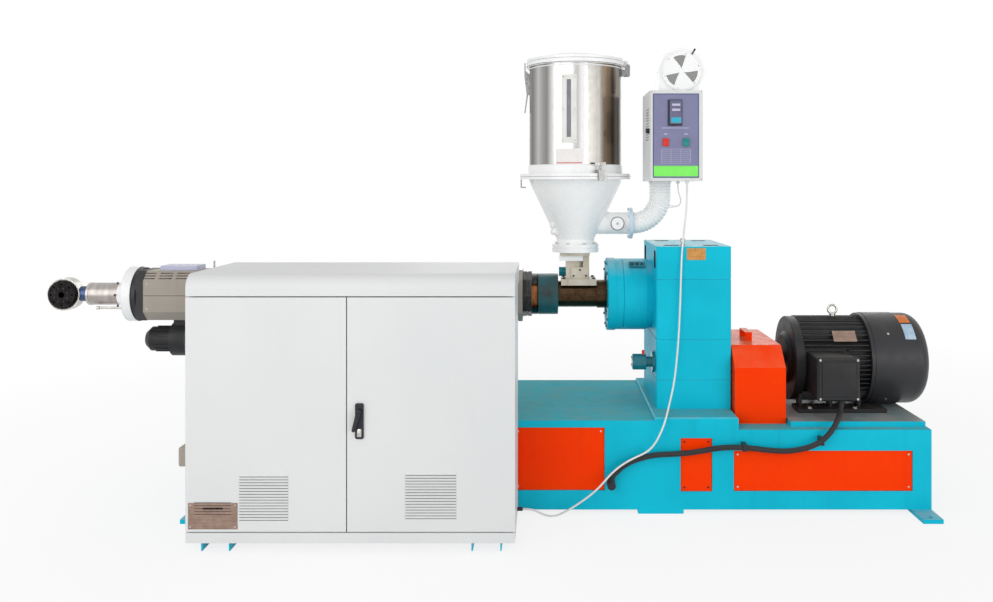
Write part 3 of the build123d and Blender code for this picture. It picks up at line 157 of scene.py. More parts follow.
class Surface:
    """A material while it is being made: its tree, its coordinates and its shader."""

    def __init__(self, name: str) -> None:
        """Starts an empty material with a shader on its output.

        Args:
            name: The material's name.
        """
        self.material = bpy.data.materials.new(name)
        self.tree = emptied(self.material)
        self.place = add_node(self.tree, "ShaderNodeTexCoord")
        self.shader = add_node(self.tree, "ShaderNodeBsdfPrincipled")
        add_node(self.tree, "ShaderNodeOutputMaterial", links={"Surface": self.shader.outputs[0]})

    def speckle(self, size: float, low: float, high: float,
                stretch: Sequence[float] = (1.0, 1.0, 1.0), detail: float = 3.0) -> Socket:
        """A cloudy pattern of a real size.

        Args:
            size: The width of a patch in millimetres.
            low: The share of the noise that counts as none.
            high: The share of the noise that counts as all.
            stretch: How much finer the pattern is along X, Y and Z, below one drawn out.
            detail: The number of finer layers.

        Returns:
            A socket that runs from zero to one.
        """
        scale = 1.0 / (size * MM)
        spread = add_node(self.tree, "ShaderNodeMapping", {"Scale": tuple(scale * way for way in stretch)},
                          {"Vector": self.place.outputs["Object"]})
        noise = add_node(self.tree, "ShaderNodeTexNoise", {"Scale": 1.0, "Detail": detail},
                         {"Vector": spread.outputs[0]})
        return add_node(self.tree, "ShaderNodeMapRange", {"From Min": low, "From Max": high},
                        {"Value": noise.outputs[0]}).outputs[0]

    def product(self, first: Socket, second: Socket, share: float = 1.0) -> Socket:
        """Two masks multiplied, and the most that the result may be.

        Args:
            first: A mask.
            second: Another mask.
            share: The result where both are one.

        Returns:
            The new mask.
        """
        both = add_node(self.tree, "ShaderNodeMath", {"operation": "MULTIPLY"}, {0: first, 1: second})
        return add_node(self.tree, "ShaderNodeMath", {"operation": "MULTIPLY", 1: share},
                        {0: both.outputs[0]}).outputs[0]

    def layered(self, base: str, layers: Sequence[tuple[str, Socket]]) -> Socket:
        """Colours laid over each other by masks.

        Args:
            base: The lowest colour.
            layers: Colours with their masks, from the lowest up.

        Returns:
            The colour that shows.
        """
        under: Socket | None = None
        for colour, mask in layers:
            mixed = add_node(self.tree, COLOUR_MIX,
                             {"data_type": "RGBA", 6: to_linear(base), 7: to_linear(colour)}, {0: mask})
            if under is not None:
                self.tree.links.new(under, mixed.inputs[6])
            under = mixed.outputs[2]
        return under

    def facing(self, low: float, high: float) -> Socket:
        """A mask of the faces that look upwards.

        Args:
            low: The upward part of the normal at which the mask starts.
            high: The upward part at which it is full.

        Returns:
            The mask.
        """
        parts = add_node(self.tree, "ShaderNodeSeparateXYZ", links={0: self.place.outputs["Normal"]})
        return add_node(self.tree, "ShaderNodeMapRange", {"From Min": low, "From Max": high},
                        {"Value": parts.outputs[2]}).outputs[0]

    def finish(self, colour: Socket, roughness: float, spread: float, grit: float, relief: float,
               stretch: Sequence[float] = (1.0, 1.0, 1.0)) -> bpy.types.Material:
        """Ends the material with its colour, its gloss and its fine relief.

        Args:
            colour: What the colour masks give.
            roughness: The middle of the roughness.
            spread: How far the roughness strays from its middle.
            grit: The width of the fine relief in millimetres.
            relief: The strength of the relief.
            stretch: How the relief is drawn out.

        Returns:
            The finished material.
        """
        dull = add_node(self.tree, "ShaderNodeMapRange",
                        {"To Min": max(roughness - spread, 0.02), "To Max": roughness + spread},
                        {"Value": self.speckle(grit * 12, 0.3, 0.7)})
        bump = add_node(self.tree, "ShaderNodeBump", {"Strength": relief, "Distance": grit * 0.1 * MM},
                        {"Height": self.speckle(grit, 0.25, 0.75, stretch, 2.0)})
        self.tree.links.new(colour, self.shader.inputs["Base Color"])
        self.tree.links.new(dull.outputs[0], self.shader.inputs["Roughness"])
        self.tree.links.new(bump.outputs[0], self.shader.inputs["Normal"])
        return self.material


# Finishes

@dataclass(frozen=True)
class Paint:
    """A coat on metal, or a moulded or printed plastic: a body colour that drifts a little, with dust
    on what looks up, dirt in upright runs, and lighter edges, partly rubbed by hands and tools and partly a
    painted highlight."""

    name: str
    colour: str
    shade: str
    dust: str = "#B9B4A8"
    dirt: str = "#6A6258"
    edge_wear_and_highlight: str = "#E8E6E0"
    dust_share: float = 0.18
    dirt_share: float = 0.1
    edge_wear_and_highlight_share: float = 0.35
    roughness: float = 0.36
    grit: float = 3.0
    relief: float = 0.12
    drift: float = 260.0
    edge: float = 2.0
    coat: float = 0.0
    gloss: float = 0.3
    slot: str = "moulded_plastic"

    def make(self) -> bpy.types.Material:
        """Builds the material.

        Returns:
            The new material.
        """
        surface = Surface(self.name)
        tree = surface.tree
        # The lighter edge colour is partly rubbed wear and partly a painted highlight along the rounded edges
        # that the bevel finds
        rounded = add_node(tree, "ShaderNodeBevel", {"samples": 4, "Radius": self.edge * MM})
        flat = add_node(tree, "ShaderNodeNewGeometry")
        bend = add_node(tree, "ShaderNodeVectorMath", {"operation": "DOT_PRODUCT"},
                        {0: rounded.outputs[0], 1: flat.outputs["Normal"]})
        rubbed_and_highlit = add_node(tree, "ShaderNodeMapRange",
                          {"From Min": 0.97, "From Max": 0.82, "To Min": 0.0, "To Max": 1.0},
                          {"Value": bend.outputs["Value"]})
        patches = surface.speckle(38.0, 0.4, 0.62)
        colour = surface.layered(self.colour, (
            (self.shade, surface.speckle(self.drift, 0.3, 0.72)),
            (self.dirt, surface.product(surface.speckle(46.0, 0.55, 0.8, (1.0, 1.0, 0.12)),
                                        surface.speckle(420.0, 0.35, 0.7), self.dirt_share)),
            (self.dust, surface.product(surface.facing(0.55, 0.95), surface.speckle(90.0, 0.25, 0.65),
                                        self.dust_share)),
            (self.edge_wear_and_highlight, surface.product(rubbed_and_highlit.outputs[0], patches, self.edge_wear_and_highlight_share)),
        ))
        surface.shader.inputs["Coat Weight"].default_value = self.coat
        surface.shader.inputs["Specular IOR Level"].default_value = self.gloss
        return surface.finish(colour, self.roughness, 0.06, self.grit, self.relief)


@dataclass(frozen=True)
class Metal:
    """Bare metal as it was worked: lines from turning, rolling or brushing that draw out the light,
    with stains and oil lying over them."""

    name: str
    colour: str
    shade: str
    stain: str
    stain_share: float = 0.2
    roughness: float = 0.28
    grain: Grain = Grain.EVEN
    grit: float = 2.0
    relief: float = 0.1
    patch: float = 60.0
    metallic: float = 1.0
    slot: str = "turned_steel"

    def make(self) -> bpy.types.Material:
        """Builds the material.

        Returns:
            The new material.
        """
        surface = Surface(self.name)
        colour = surface.layered(self.colour, (
            (self.shade, surface.speckle(self.grit * 4, 0.3, 0.7, self.grain.value)),
            (self.stain, surface.product(surface.speckle(self.patch, 0.42, 0.68),
                                         surface.speckle(9.0, 0.2, 0.6), self.stain_share)),
        ))
        surface.shader.inputs["Metallic"].default_value = self.metallic
        return surface.finish(colour, self.roughness, 0.07, self.grit, self.relief, self.grain.value)


@dataclass(frozen=True)
class RolledSheet:
    """Polished stainless sheet rolled into a drum, with painted reflections: broad upright bands, bright,
    grey and brown, painted into its colour by the angle round the drum's axis, that stand in for the room
    that it mirrors."""

    name: str
    centre_x: float
    reflection_bands: tuple[tuple[float, str], ...]
    roughness: float = 0.2
    slot: str = "polished_steel"

    def make(self) -> bpy.types.Material:
        """Builds the material.

        Returns:
            The new material.
        """
        surface = Surface(self.name)
        tree = surface.tree
        centred = add_node(tree, "ShaderNodeMapping", {"Location": (-self.centre_x * MM, 0.0, 0.0)},
                           {"Vector": surface.place.outputs["Object"]})
        around = add_node(tree, "ShaderNodeTexGradient", {"gradient_type": "RADIAL"}, {0: centred.outputs[0]})
        folded = add_node(tree, "ShaderNodeMath", {"operation": "PINGPONG", 1: 0.5}, {0: around.outputs[1]})
        doubled = add_node(tree, "ShaderNodeMath", {"operation": "MULTIPLY", 1: 2.0}, {0: folded.outputs[0]})
        # The ramp paints reflections and highlights into the colour, by the angle round the drum's axis
        ramp = add_node(tree, "ShaderNodeValToRGB", links={0: doubled.outputs[0]})
        stops = ramp.color_ramp.elements
        rows = [(acos(max(-1.0, min(1.0, -across))) / pi, colour) for across, colour in self.reflection_bands]
        stops[0].position = rows[0][0]
        stops[0].color = to_linear(rows[0][1])
        stops[1].position = rows[-1][0]
        stops[1].color = to_linear(rows[-1][1])
        for place, colour in rows[1:-1]:
            stop = stops.new(place)
            stop.color = to_linear(colour)
        scuffs = surface.speckle(5.0, 0.45, 0.75, (1.0, 1.0, 0.05))
        dulled = surface.product(scuffs, surface.speckle(160.0, 0.3, 0.7), 0.14)
        mixed = add_node(tree, COLOUR_MIX, {"data_type": "RGBA", 7: to_linear("#6E6860")},
                         {0: dulled, 6: ramp.outputs[0]})
        surface.shader.inputs["Metallic"].default_value = 1.0
        return surface.finish(mixed.outputs[2], self.roughness, 0.05, 2.5, 0.05, (1.0, 1.0, 0.1))


@dataclass(frozen=True)
class Glass:
    """Clear glass or acrylic, coloured dark: on the sight glass that colour is painted shade of the hollow
    behind it, on the display it is the screen's own; smooth and bright only where it mirrors.
    """

    name: str
    colour: str
    smear: str
    roughness: float = 0.08
    slot: str = "clear_glass"

    def make(self) -> bpy.types.Material:
        """Builds the material.

        Returns:
            The new material.
        """
        surface = Surface(self.name)
        smears = surface.speckle(18.0, 0.35, 0.75, (1.0, 1.0, 0.4))
        colour = surface.layered(self.colour, ((self.smear, smears),))
        surface.shader.inputs["Coat Weight"].default_value = 0.6
        return surface.finish(colour, self.roughness, 0.04, 8.0, 0.02)


class Finish(Enum):
    """Every finish on the machine, by what the real one is, with a slot name for its own pieces."""

    # Semi-gloss enamel brushed and sprayed over welded plate: pale dust shows on the decks
    TEAL = Paint("teal_machine_enamel", "#10C4DE", "#0CB6D0", dust="#A9C2C4", dirt="#10707F", edge_wear_and_highlight="#63CDDC",
                 dust_share=0.8, dirt_share=0.22, roughness=0.4, gloss=0.1, drift=330.0)
    # The flat decks of the same enamel, where oil and pale dust have settled
    DECK = Paint("dusty_deck_enamel", "#38BCCD", "#58B2B9", dust="#7BAFB3", dirt="#4E5A4C", edge_wear_and_highlight="#7FC4CC",
                 dust_share=0.4, dirt_share=0.5, roughness=0.65, gloss=0.03, drift=140.0)
    # The motor's plate, which grey dust and spilt grease cover almost wholly
    GREASY = Paint("greasy_plate_enamel", "#6E9298", "#7E9092", dust="#A5A6A4", dirt="#5E5A52",
                   edge_wear_and_highlight="#7FC4CC", dust_share=0.9, dirt_share=0.4, roughness=0.36, gloss=0.25, drift=90.0)
    # The same enamel darker on its castings, partly oil and partly painted shade for their faces in shade
    TEAL_SHADED_OILY = Paint("oily_teal_enamel_painted_shade", "#15808F", "#0F6674", dust="#3B6D70", dirt="#1C3434",
                      edge_wear_and_highlight="#56AEB9", dust_share=0.4, dirt_share=0.6, roughness=0.28, coat=0.3, drift=120.0,
                      slot="teal_enamel")
    # Gloss orange over folded sheet
    ORANGE = Paint("orange_gloss_enamel", "#FF3F00", "#FF3900", dust="#FA9A6E", dirt="#B32D08",
                   edge_wear_and_highlight="#FF8A5E", dust_share=0.5, dirt_share=0.12, roughness=0.3, gloss=0.06, drift=200.0,
                   relief=0.06, slot="orange_enamel")
    # Satin beige over perforated sheet, yellowed by heat
    BEIGE = Paint("beige_satin_enamel", "#A9A096", "#9B9186", dust="#C9C2B6", dirt="#6B5B49", dirt_share=0.4,
                  dust_share=0.4, roughness=0.42)
    # The jacket's enamel, burnt by heat and soaked in oil
    BURNT = Paint("burnt_teal_enamel", "#1E6B75", "#35302A", dust="#3B6D70", dirt="#241E19", edge_wear_and_highlight="#56AEB9",
                  dust_share=0.5, dirt_share=0.9, roughness=0.34, drift=110.0)
    CREAM = Paint("cream_enamel", "#D8D1C2", "#C5BBA8", dust="#A89A82", dirt="#4A3A28", dirt_share=0.75,
                  dust_share=0.35, roughness=0.4, drift=60.0)
    LILAC = Paint("lilac_film", "#BDBFD8", "#C6C8DC", dust="#D5D4DE", dirt_share=0.1, roughness=0.3)
    # Gloss white on spun and welded sheet
    WHITE = Paint("white_gloss_enamel", "#F8F8F8", "#F4F5F6", dust="#DCD9D0", dirt="#B4B0A8", edge_wear_and_highlight="#FFFFFF",
                  dust_share=0.25, dirt_share=0.1, roughness=0.26, coat=0.3, drift=210.0, slot="white_enamel")
    # Fine powder coat on the cabinet's sheet: a slight orange peel that dulls the light
    POWDER = Paint("powder_coat", "#DFE0E0", "#DADCDD", dust="#D9D8D2", dirt="#B9B4AB", edge_wear_and_highlight="#F6F6F4",
                   dust_share=0.3, dirt_share=0.06, roughness=0.44, grit=1.6, relief=0.2, drift=520.0)
    BLACK = Paint("black_satin_enamel", "#2C2C2E", "#343437", dust="#6B6760", dirt="#151515", edge_wear_and_highlight="#5A5A5C",
                  dust_share=0.22, dirt_share=0.3, roughness=0.38, drift=150.0, slot="black_enamel")
    # Painted sand casting: a coarse skin under satin black
    CAST = Paint("painted_casting", "#1D1D1F", "#28282A", dust="#6F6A62", dirt="#0F0F10", edge_wear_and_highlight="#55565A",
                 dust_share=0.3, dirt_share=0.3, roughness=0.46, grit=4.0, relief=0.45, drift=120.0,
                 slot="motor_iron")
    PANEL = Paint("printed_panel_film", "#8384A6", "#7D7D9F", dust="#8E8BAE", dirt="#5A587D", edge_wear_and_highlight="#8F8DB0",
                  dust_share=0.0, dirt_share=0.08, roughness=0.38, grit=1.2, relief=0.05, drift=90.0,
                  edge=0.6)
    PANEL_EDGE = Paint("dark_blue_film_edge", "#2F4668", "#3A5378", dust_share=0.0, roughness=0.35, edge=0.5,
                       slot="panel_film")
    GREEN = Paint("green_film", "#86F46B", "#7DEB62", dust="#B9F7A8", dirt="#66C450", dust_share=0.0,
                  roughness=0.35, grit=1.2, relief=0.04, drift=60.0, edge=0.5, slot="panel_film")
    PALE_INK = Paint("pale_ink", "#C8C6DC", "#BEBCD6", dust_share=0.0, roughness=0.4, edge=0.3,
                     slot="panel_film")
    CYAN_INK = Paint("cyan_ink", "#2FA7C4", "#3FB5CF", dust_share=0.0, roughness=0.25, edge=0.3)
    DARK_PLASTIC = Paint("dark_moulded_plastic", "#25252B", "#2F2F36", dust="#4E4E54", dirt="#101012",
                         edge_wear_and_highlight="#4A4A50", dust_share=0.15, roughness=0.42, grit=1.0, relief=0.25, drift=40.0)
    RED_PLASTIC = Paint("red_moulded_plastic", "#E0311C", "#C92A18", dirt="#8A1408", edge_wear_and_highlight="#F0705E",
                        dust_share=0.0, roughness=0.25, grit=1.5, drift=25.0, coat=0.3, edge=1.0)
    GREEN_PLASTIC = Paint("green_moulded_plastic", "#15958E", "#118079", dirt="#0A4C48", edge_wear_and_highlight="#58BDB6",
                          dust_share=0.0, roughness=0.25, grit=1.5, drift=25.0, coat=0.3, edge=1.0)
    WHITE_PLASTIC = Paint("white_moulded_plastic", "#E9E9E6", "#DCDCD8", dust="#CFCBC0", roughness=0.4,
                          grit=1.0, drift=60.0, edge=0.8)
    LABEL = Paint("paper_label", "#F1EEEC", "#E8E4E2", dirt="#B8B0A8", dust_share=0.0, roughness=0.55,
                  grit=0.8, drift=50.0, edge=0.4)
    RED_INK = Paint("red_ink", "#C8525A", "#D9777C", dust_share=0.0, roughness=0.5, edge=0.3)
    ORANGE_FOIL = Paint("orange_foil", "#E8812B", "#C9601C", dirt="#8A4A1C", dust_share=0.0, roughness=0.3,
                        drift=30.0, edge=0.4)
    BLUE_FOIL = Paint("pale_blue_foil", "#C4D3E0", "#8FB6D2", dirt="#7C8C9A", dust_share=0.0, roughness=0.4,
                      drift=30.0, edge=0.4)
    BLUE_EDGE = Paint("blue_tinted_enamel", "#B9D6EE", "#D4E3EF", dirt="#7E9DB4", dust_share=0.1,
                      roughness=0.26, coat=0.3, drift=50.0)
    VENT_MESH = Paint("woven_vent_mesh", "#9C9C9A", "#7E7E7C", dust="#B5B3AE", dirt="#4E4E4C", dirt_share=0.5,
                      roughness=0.5, grit=2.2, relief=0.9, drift=6.0, slot="dark_steel")
    WHITE_SHEATH = Paint("white_cable_sheath", "#EDEDEB", "#E1E1DE", dust="#D2CEC4", dirt="#A9A397",
                         roughness=0.42, grit=1.5, drift=80.0, edge=0.5, slot="white_sheath")
    BLACK_SHEATH = Paint("black_rubber_sheath", "#28282A", "#303032", dust="#5A5752", dirt="#161616",
                         edge_wear_and_highlight="#3E3E40", dust_share=0.3, roughness=0.52, grit=1.8, relief=0.3, drift=70.0,
                         slot="black_sheath")
    # Painted shadow: the dark between two louvres, where no light gets in
    LOUVRE_SHADOW = Paint("louvre_gap_painted_shadow", "#3A3A3B", "#474748", dust_share=0.0, roughness=0.7, edge=0.3, drift=40.0)
    # Turned and ground steels
    BRIGHT = Metal("bright_turned_steel", "#C9C7C3", "#A9A6A1", "#6A5A48", 0.3, 0.24, Grain.ROUND_X)
    PLATED = Metal("zinc_plated_steel", "#CFCDC8", "#B2AFA8", "#7A705F", 0.25, 0.26)
    BOLT = Metal("blackened_bolt_steel", "#4A4A4C", "#38383A", "#1E1C1A", 0.4, 0.34, slot="dark_steel")
    ROSY = Metal("heat_tinted_steel", "#B7B3B0", "#A59F9A", "#8B6E60", 0.35, 0.34, Grain.ROUND_X, grit=4.0,
                 relief=0.03)
    BLUED = Metal("heat_blued_steel", "#4B5C7E", "#3C4C6C", "#2C3350", 0.5, 0.3, Grain.ROUND_X)
    OILED = Metal("oiled_screw_steel", "#54412F", "#463526", "#1C140E", 0.7, 0.32, Grain.ALONG_X, relief=0.03,
                  patch=34.0)
    STAINLESS = Metal("brushed_stainless", "#A3A3A1", "#828180", "#4E4A45", 0.4, 0.3)
    DARK = Metal("dark_turned_steel", "#4C4B4B", "#353434", "#191817", 0.5, 0.32, Grain.ROUND_X, patch=26.0,
                 slot="dark_steel")
    SOOTY = Metal("sooty_die_steel", "#211F20", "#2C2A2A", "#0E0D0D", 0.7, 0.4, Grain.EVEN, patch=22.0)
    # Etched copper-coloured plates
    COPPER = Metal("etched_copper_plate", "#A58C7E", "#937A6C", "#66524A", 0.4, 0.36, Grain.ALONG_X,
                   grit=1.2, patch=30.0, metallic=0.6)
    BRASSY = Metal("brass_plate", "#D39A58", "#C08848", "#7C5528", 0.35, 0.34, Grain.ALONG_X,
                   grit=1.2, patch=24.0, metallic=0.6)
    WINDOW = Metal("heat_browned_window", "#B4713A", "#8F5426", "#4A2A14", 0.5, 0.34, Grain.ROUND_X,
                   patch=20.0, metallic=0.5)
    # The polished drum, whose colour holds painted reflections in upright bands round its axis
    DRUM = RolledSheet("polished_drum_sheet", -394.0, (
        (-1.0, "#6A6967"), (-0.93, "#5C5B59"), (-0.88, "#8E8D8B"), (-0.8, "#BFBEBC"), (-0.7, "#9C9B99"),
        (-0.62, "#8B8A88"), (-0.52, "#D5D4D2"), (-0.42, "#F4F3F2"), (-0.36, "#CFCECC"), (0.02, "#C9C8C5"),
        (0.09, "#F2F1F0"), (0.18, "#EDECEA"), (0.24, "#A09E9A"), (0.42, "#85827D"), (0.52, "#8F8A83"),
        (0.6, "#A28B74"), (0.7, "#8D7862"), (0.76, "#4A443F"), (0.84, "#8E8478"), (0.93, "#5A5550"),
    ))
    SIGHT_SHADE = Glass("sight_glass_painted_shade", "#4A4858", "#6B6978")
    DISPLAY = Glass("display_glass", "#5B597C", "#68668A")

    def material(self) -> bpy.types.Material:
        """The finish's material, made when it is first asked for."""
        return bpy.data.materials.get(self.value.name) or self.value.make()


# Building and keeping pieces

Patches = Sequence[tuple[Finish, Callable[[Vector], bool]]]


def dress(finish: Finish, *nodes: str, patches: Patches = ()) -> None:
    """Gives CAD nodes their finish.

    Args:
        finish: What most of each is.
        nodes: The nodes' names.
        patches: Other finishes, each with a test of a face's centre in millimetres; the first to fit holds.
    """
    for node in nodes:
        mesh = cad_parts[node].data
        mesh.materials.clear()
        for kind in (finish, *(patch[0] for patch in patches)):
            mesh.materials.append(kind.material())
        numbers = [0] * len(mesh.polygons)
        for polygon in mesh.polygons if patches else ():
            centre = polygon.center / MM
            fits = (number for number, (_, covers) in enumerate(patches, 1) if covers(centre))
            numbers[polygon.index] = next(fits, 0)
        if patches:
            mesh.polygons.foreach_set("material_index", numbers)
            mesh.update()
        log.info("dressed %s in %s", node, finish.value.name)


def link(name: str, data: bpy.types.ID) -> Piece:
    """Puts a new object with this data into the scene."""
    piece = bpy.data.objects.new(name, data)
    bpy.context.scene.collection.objects.link(piece)
    return piece


def keep(piece: Piece, body: Body = Body.MACHINE) -> Piece:
    """Makes a finished piece ride on its body.

    Args:
        piece: The piece, in place.
        body: What it rides on.

    Returns:
        The same piece.
    """
    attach(piece, body.value)
    log.info("built %s", piece.name)
    return piece


def facing(place: Sequence[float], outward: Side | Vector, upward: Vector = Vector((0, 0, 1))) -> Matrix:
    """The placing of a piece that is drawn flat, with its X across, its Y upward and its Z outward.

    Args:
        place: Where its centre goes, in millimetres.
        outward: The way that its face looks.
        upward: Roughly the way that its Y runs.

    Returns:
        The matrix.
    """
    out = unit(outward)
    if abs(out.dot(upward)) > 0.99:
        upward = Vector((0, 1, 0))
    across = upward.cross(out).normalized()
    matrix = Matrix((across, out.cross(across), out)).transposed().to_4x4()
    matrix.translation = Vector(place)
    return matrix


def unit(outward: Side | Vector) -> Vector:
    """The unit vector of a side or of any other way."""
    return (outward.vector if isinstance(outward, Side) else outward).normalized()


def along_x(axis_z: float) -> Callable[[float, float, float], Vector]:
    """Places round a cylinder that lies along X, for Shape.wrap, with the angle up from the front."""
    return lambda depth, angle, along: Vector((along, -depth * cos(angle), axis_z + depth * sin(angle)))


def out_of_x(degrees: float) -> Vector:
    """The way out of a cylinder that lies along X, at an angle up from the front."""
    return Vector((0, -cos(radians(degrees)), sin(radians(degrees))))


def around_z(axis_x: float) -> Callable[[float, float, float], Vector]:
    """Places round an upright cylinder, for Shape.wrap, with the angle from the front towards the right."""
    return lambda depth, angle, along: Vector((axis_x + depth * sin(angle), -depth * cos(angle), along))


class Shape:
    """A mesh while it is drawn in millimetres. Each way of drawing gives back the shape itself."""

    def __init__(self) -> None:
        """Starts an empty mesh."""
        self.mesh = bmesh.new()

    def slab(self, size: Sequence[float], matrix: Matrix, edge: float = 0.0, segments: int = 2) -> "Shape":
        """Adds a box with rounded edges.

        Args:
            size: Its three sizes.
            matrix: Where its centre goes.
            edge: The radius of its edges.
            segments: The faces across a rounded edge.

        Returns:
            The shape.
        """
        ends = bmesh.ops.create_cube(self.mesh, size=1.0)["verts"]
        bmesh.ops.scale(self.mesh, vec=size, verts=ends)
        if edge:
            edges = list({line for end in ends for line in end.link_edges})
            made = bmesh.ops.bevel(self.mesh, geom=edges, offset=edge, segments=segments, profile=0.5,
                                   affect="EDGES", clamp_overlap=True)
            ends = list({end for face in made["faces"] for end in face.verts} |
                        {end for end in ends if end.is_valid})
        bmesh.ops.transform(self.mesh, matrix=matrix, verts=ends)
        return self

    def loft(self, rings: Sequence[Sequence[bmesh.types.BMVert]]) -> "Shape":
        """Joins rings of points by faces, each ring to the next; a ring of one point is a tip.

        Args:
            rings: The rings.

        Returns:
            The shape.
        """
        for first, second in zip(rings, rings[1:]):
            sides = max(len(first), len(second))
            for turn in range(sides):
                ahead = (turn + 1) % sides
                face = [first[turn % len(first)], first[ahead % len(first)],
                        second[ahead % len(second)], second[turn % len(second)]]
                self.mesh.faces.new(list(dict.fromkeys(face)))
        return self

    def turned(self, profile: Sequence[Pair], matrix: Matrix, sides: int = ROUND_SIDES) -> "Shape":
        """Adds a turned form, closed at both ends.

        Args:
            profile: Radii with their places along Z, from one end to the other.
            matrix: Where the form's foot goes.
            sides: The faces round it.

        Returns:
            The shape.
        """
        rings = [[self.mesh.verts.new(matrix @ Vector((radius * cos(turn * tau / sides),
                                                       radius * sin(turn * tau / sides), along)))
                  for turn in range(sides if radius else 1)] for radius, along in profile]
        for ring in (rings[0], rings[-1]):
            if len(ring) > 1:
                self.mesh.faces.new(ring)
        return self.loft(rings)

    def ring(self, radius: float, wire: float, matrix: Matrix, sides: int = 48,
             wire_sides: int = 8) -> "Shape":
        """Adds a closed round ring.

        Args:
            radius: From its centre to the middle of its wire.
            wire: The radius of its wire.
            matrix: Where its centre goes, with its axis along Z.
            sides: The faces round the ring.
            wire_sides: The faces round the wire.

        Returns:
            The shape.
        """
        loops = []
        for turn in range(sides):
            angle = turn * tau / sides
            loops.append([
                self.mesh.verts.new(matrix @ Vector((
                    (radius + wire * cos(step * tau / wire_sides)) * cos(angle),
                    (radius + wire * cos(step * tau / wire_sides)) * sin(angle),
                    wire * sin(step * tau / wire_sides),
                )))
                for step in range(wire_sides)
            ])
        return self.loft((*loops, loops[0]))

    def wrap(self, radius: float, thick: float, angles: Pair, ends: Pair,
             point: Callable[[float, float, float], Vector], steps: int = 12) -> "Shape":
        """Adds a thin sheet that lies round a cylinder, such as a sticker or a plate.

        Args:
            radius: The radius of its underside.
            thick: Its thickness.
            angles: Where it starts and ends round the cylinder, in degrees.
            ends: Where it starts and ends along the cylinder.
            point: Turns a radius, an angle in radians and a length along the cylinder into a place.
            steps: The faces round it.

        Returns:
            The shape.
        """
        section = ((radius, ends[0]), (radius + thick, ends[0]), (radius + thick, ends[1]), (radius, ends[1]))
        rows = []
        for step in range(steps + 1):
            angle = radians(angles[0] + (angles[1] - angles[0]) * step / steps)
            rows.append([self.mesh.verts.new(point(depth, angle, along)) for depth, along in section])
        self.mesh.faces.new(rows[0])
        self.mesh.faces.new(rows[-1])
        return self.loft(rows)

    def prism(self, rim: Sequence[Vector], way: Sequence[float]) -> "Shape":
        """Adds a flat outline drawn out to a solid.

        Args:
            rim: The outline's corners.
            way: How far and which way it is drawn.

        Returns:
            The shape.
        """
        flat = self.mesh.faces.new([self.mesh.verts.new(place) for place in rim])
        drawn = bmesh.ops.extrude_face_region(self.mesh, geom=[flat])["geom"]
        bmesh.ops.translate(self.mesh, vec=Vector(way),
                            verts=[part for part in drawn if isinstance(part, bmesh.types.BMVert)])
        return self

    def keep(self, name: str, finish: Finish, smooth: bool = False, body: Body = Body.MACHINE,
             slot: str = "") -> Piece:
        """Ends the shape as a piece in metres, with its faces pointing outwards.

        Args:
            name: The piece's name.
            finish: Its finish.
            smooth: Whether round faces are shaded smooth.
            body: What it rides on.

        Returns:
            The piece.
        """
        bmesh.ops.remove_doubles(self.mesh, verts=self.mesh.verts, dist=0.001)
        bmesh.ops.recalc_face_normals(self.mesh, faces=self.mesh.faces)
        bmesh.ops.scale(self.mesh, vec=(MM, MM, MM), verts=self.mesh.verts)
        mesh = bpy.data.meshes.new(name)
        self.mesh.to_mesh(mesh)
        self.mesh.free()
        mesh.materials.append(finish.material())
        if smooth:
            mesh.shade_smooth()
            mesh.set_sharp_from_angle(angle=radians(35))
        return keep(link(name, mesh), body)


def plate(name: str, size: Sequence[float], matrix: Matrix, finish: Finish, body: Body = Body.MACHINE,
          edge: float = 0.6, slot: str = "") -> Piece:
    """Fixes a bare plate, label or strip.

    Args:
        name: Its name.
        size: Its width, height and thickness.
        matrix: Where its centre goes.
        finish: Its finish.
        body: What it rides on.
        edge: The radius of its edges.
        slot: Not used.

    Returns:
        The plate.
    """
    return Shape().slab(size, matrix, edge).keep(name, finish, body=body, slot=slot)


# Rows of fasteners and bars

HEAD_PROFILES = {
    Head.HEX: ((0.0, -0.1), (1.3, -0.1), (1.3, 0.12), (1.25, 0.16), (0.0, 0.16)),
    Head.SOCKET: ((0.0, -0.1), (1.0, -0.1), (1.0, 0.82), (0.92, 0.92), (0.5, 0.92), (0.5, 0.4), (0.0, 0.36)),
    Head.PAN: ((0.0, -0.1), (1.0, -0.1), (1.0, 0.25), (0.9, 0.45), (0.6, 0.6), (0.26, 0.64), (0.2, 0.4),
               (0.0, 0.36)),
    Head.RIVET: ((0.0, -0.1), (1.0, -0.1), (0.96, 0.2), (0.78, 0.45), (0.45, 0.62), (0.0, 0.68)),
}
HEAD_SIDES = 14
PLATE_THICK = 1.6
NUT_TOP = 0.86
NUT_CHAMFER = 0.12
Spots = Sequence[tuple[Sequence[float], Side | Vector]]


def head_template(head: Head) -> Piece:
    """A head of radius one, with its axis along Z, that the fastener tree places.

    Args:
        head: The kind of head.

    Returns:
        An object that isn't linked to the scene.
    """
    shape = Shape().turned(HEAD_PROFILES[head], Matrix.Identity(4), HEAD_SIDES)
    if head is Head.HEX:
        shape.turned(((0.0, 0.1), (1.0, 0.1), (1.0, NUT_TOP - NUT_CHAMFER), (1.0 - NUT_CHAMFER, NUT_TOP),
                      (0.0, NUT_TOP)), Matrix.Identity(4), 6)
    bmesh.ops.recalc_face_normals(shape.mesh, faces=shape.mesh.faces)
    mesh = bpy.data.meshes.new(head.value + "_template")
    shape.mesh.to_mesh(mesh)
    shape.mesh.free()
    return bpy.data.objects.new(head.value + "_template", mesh)


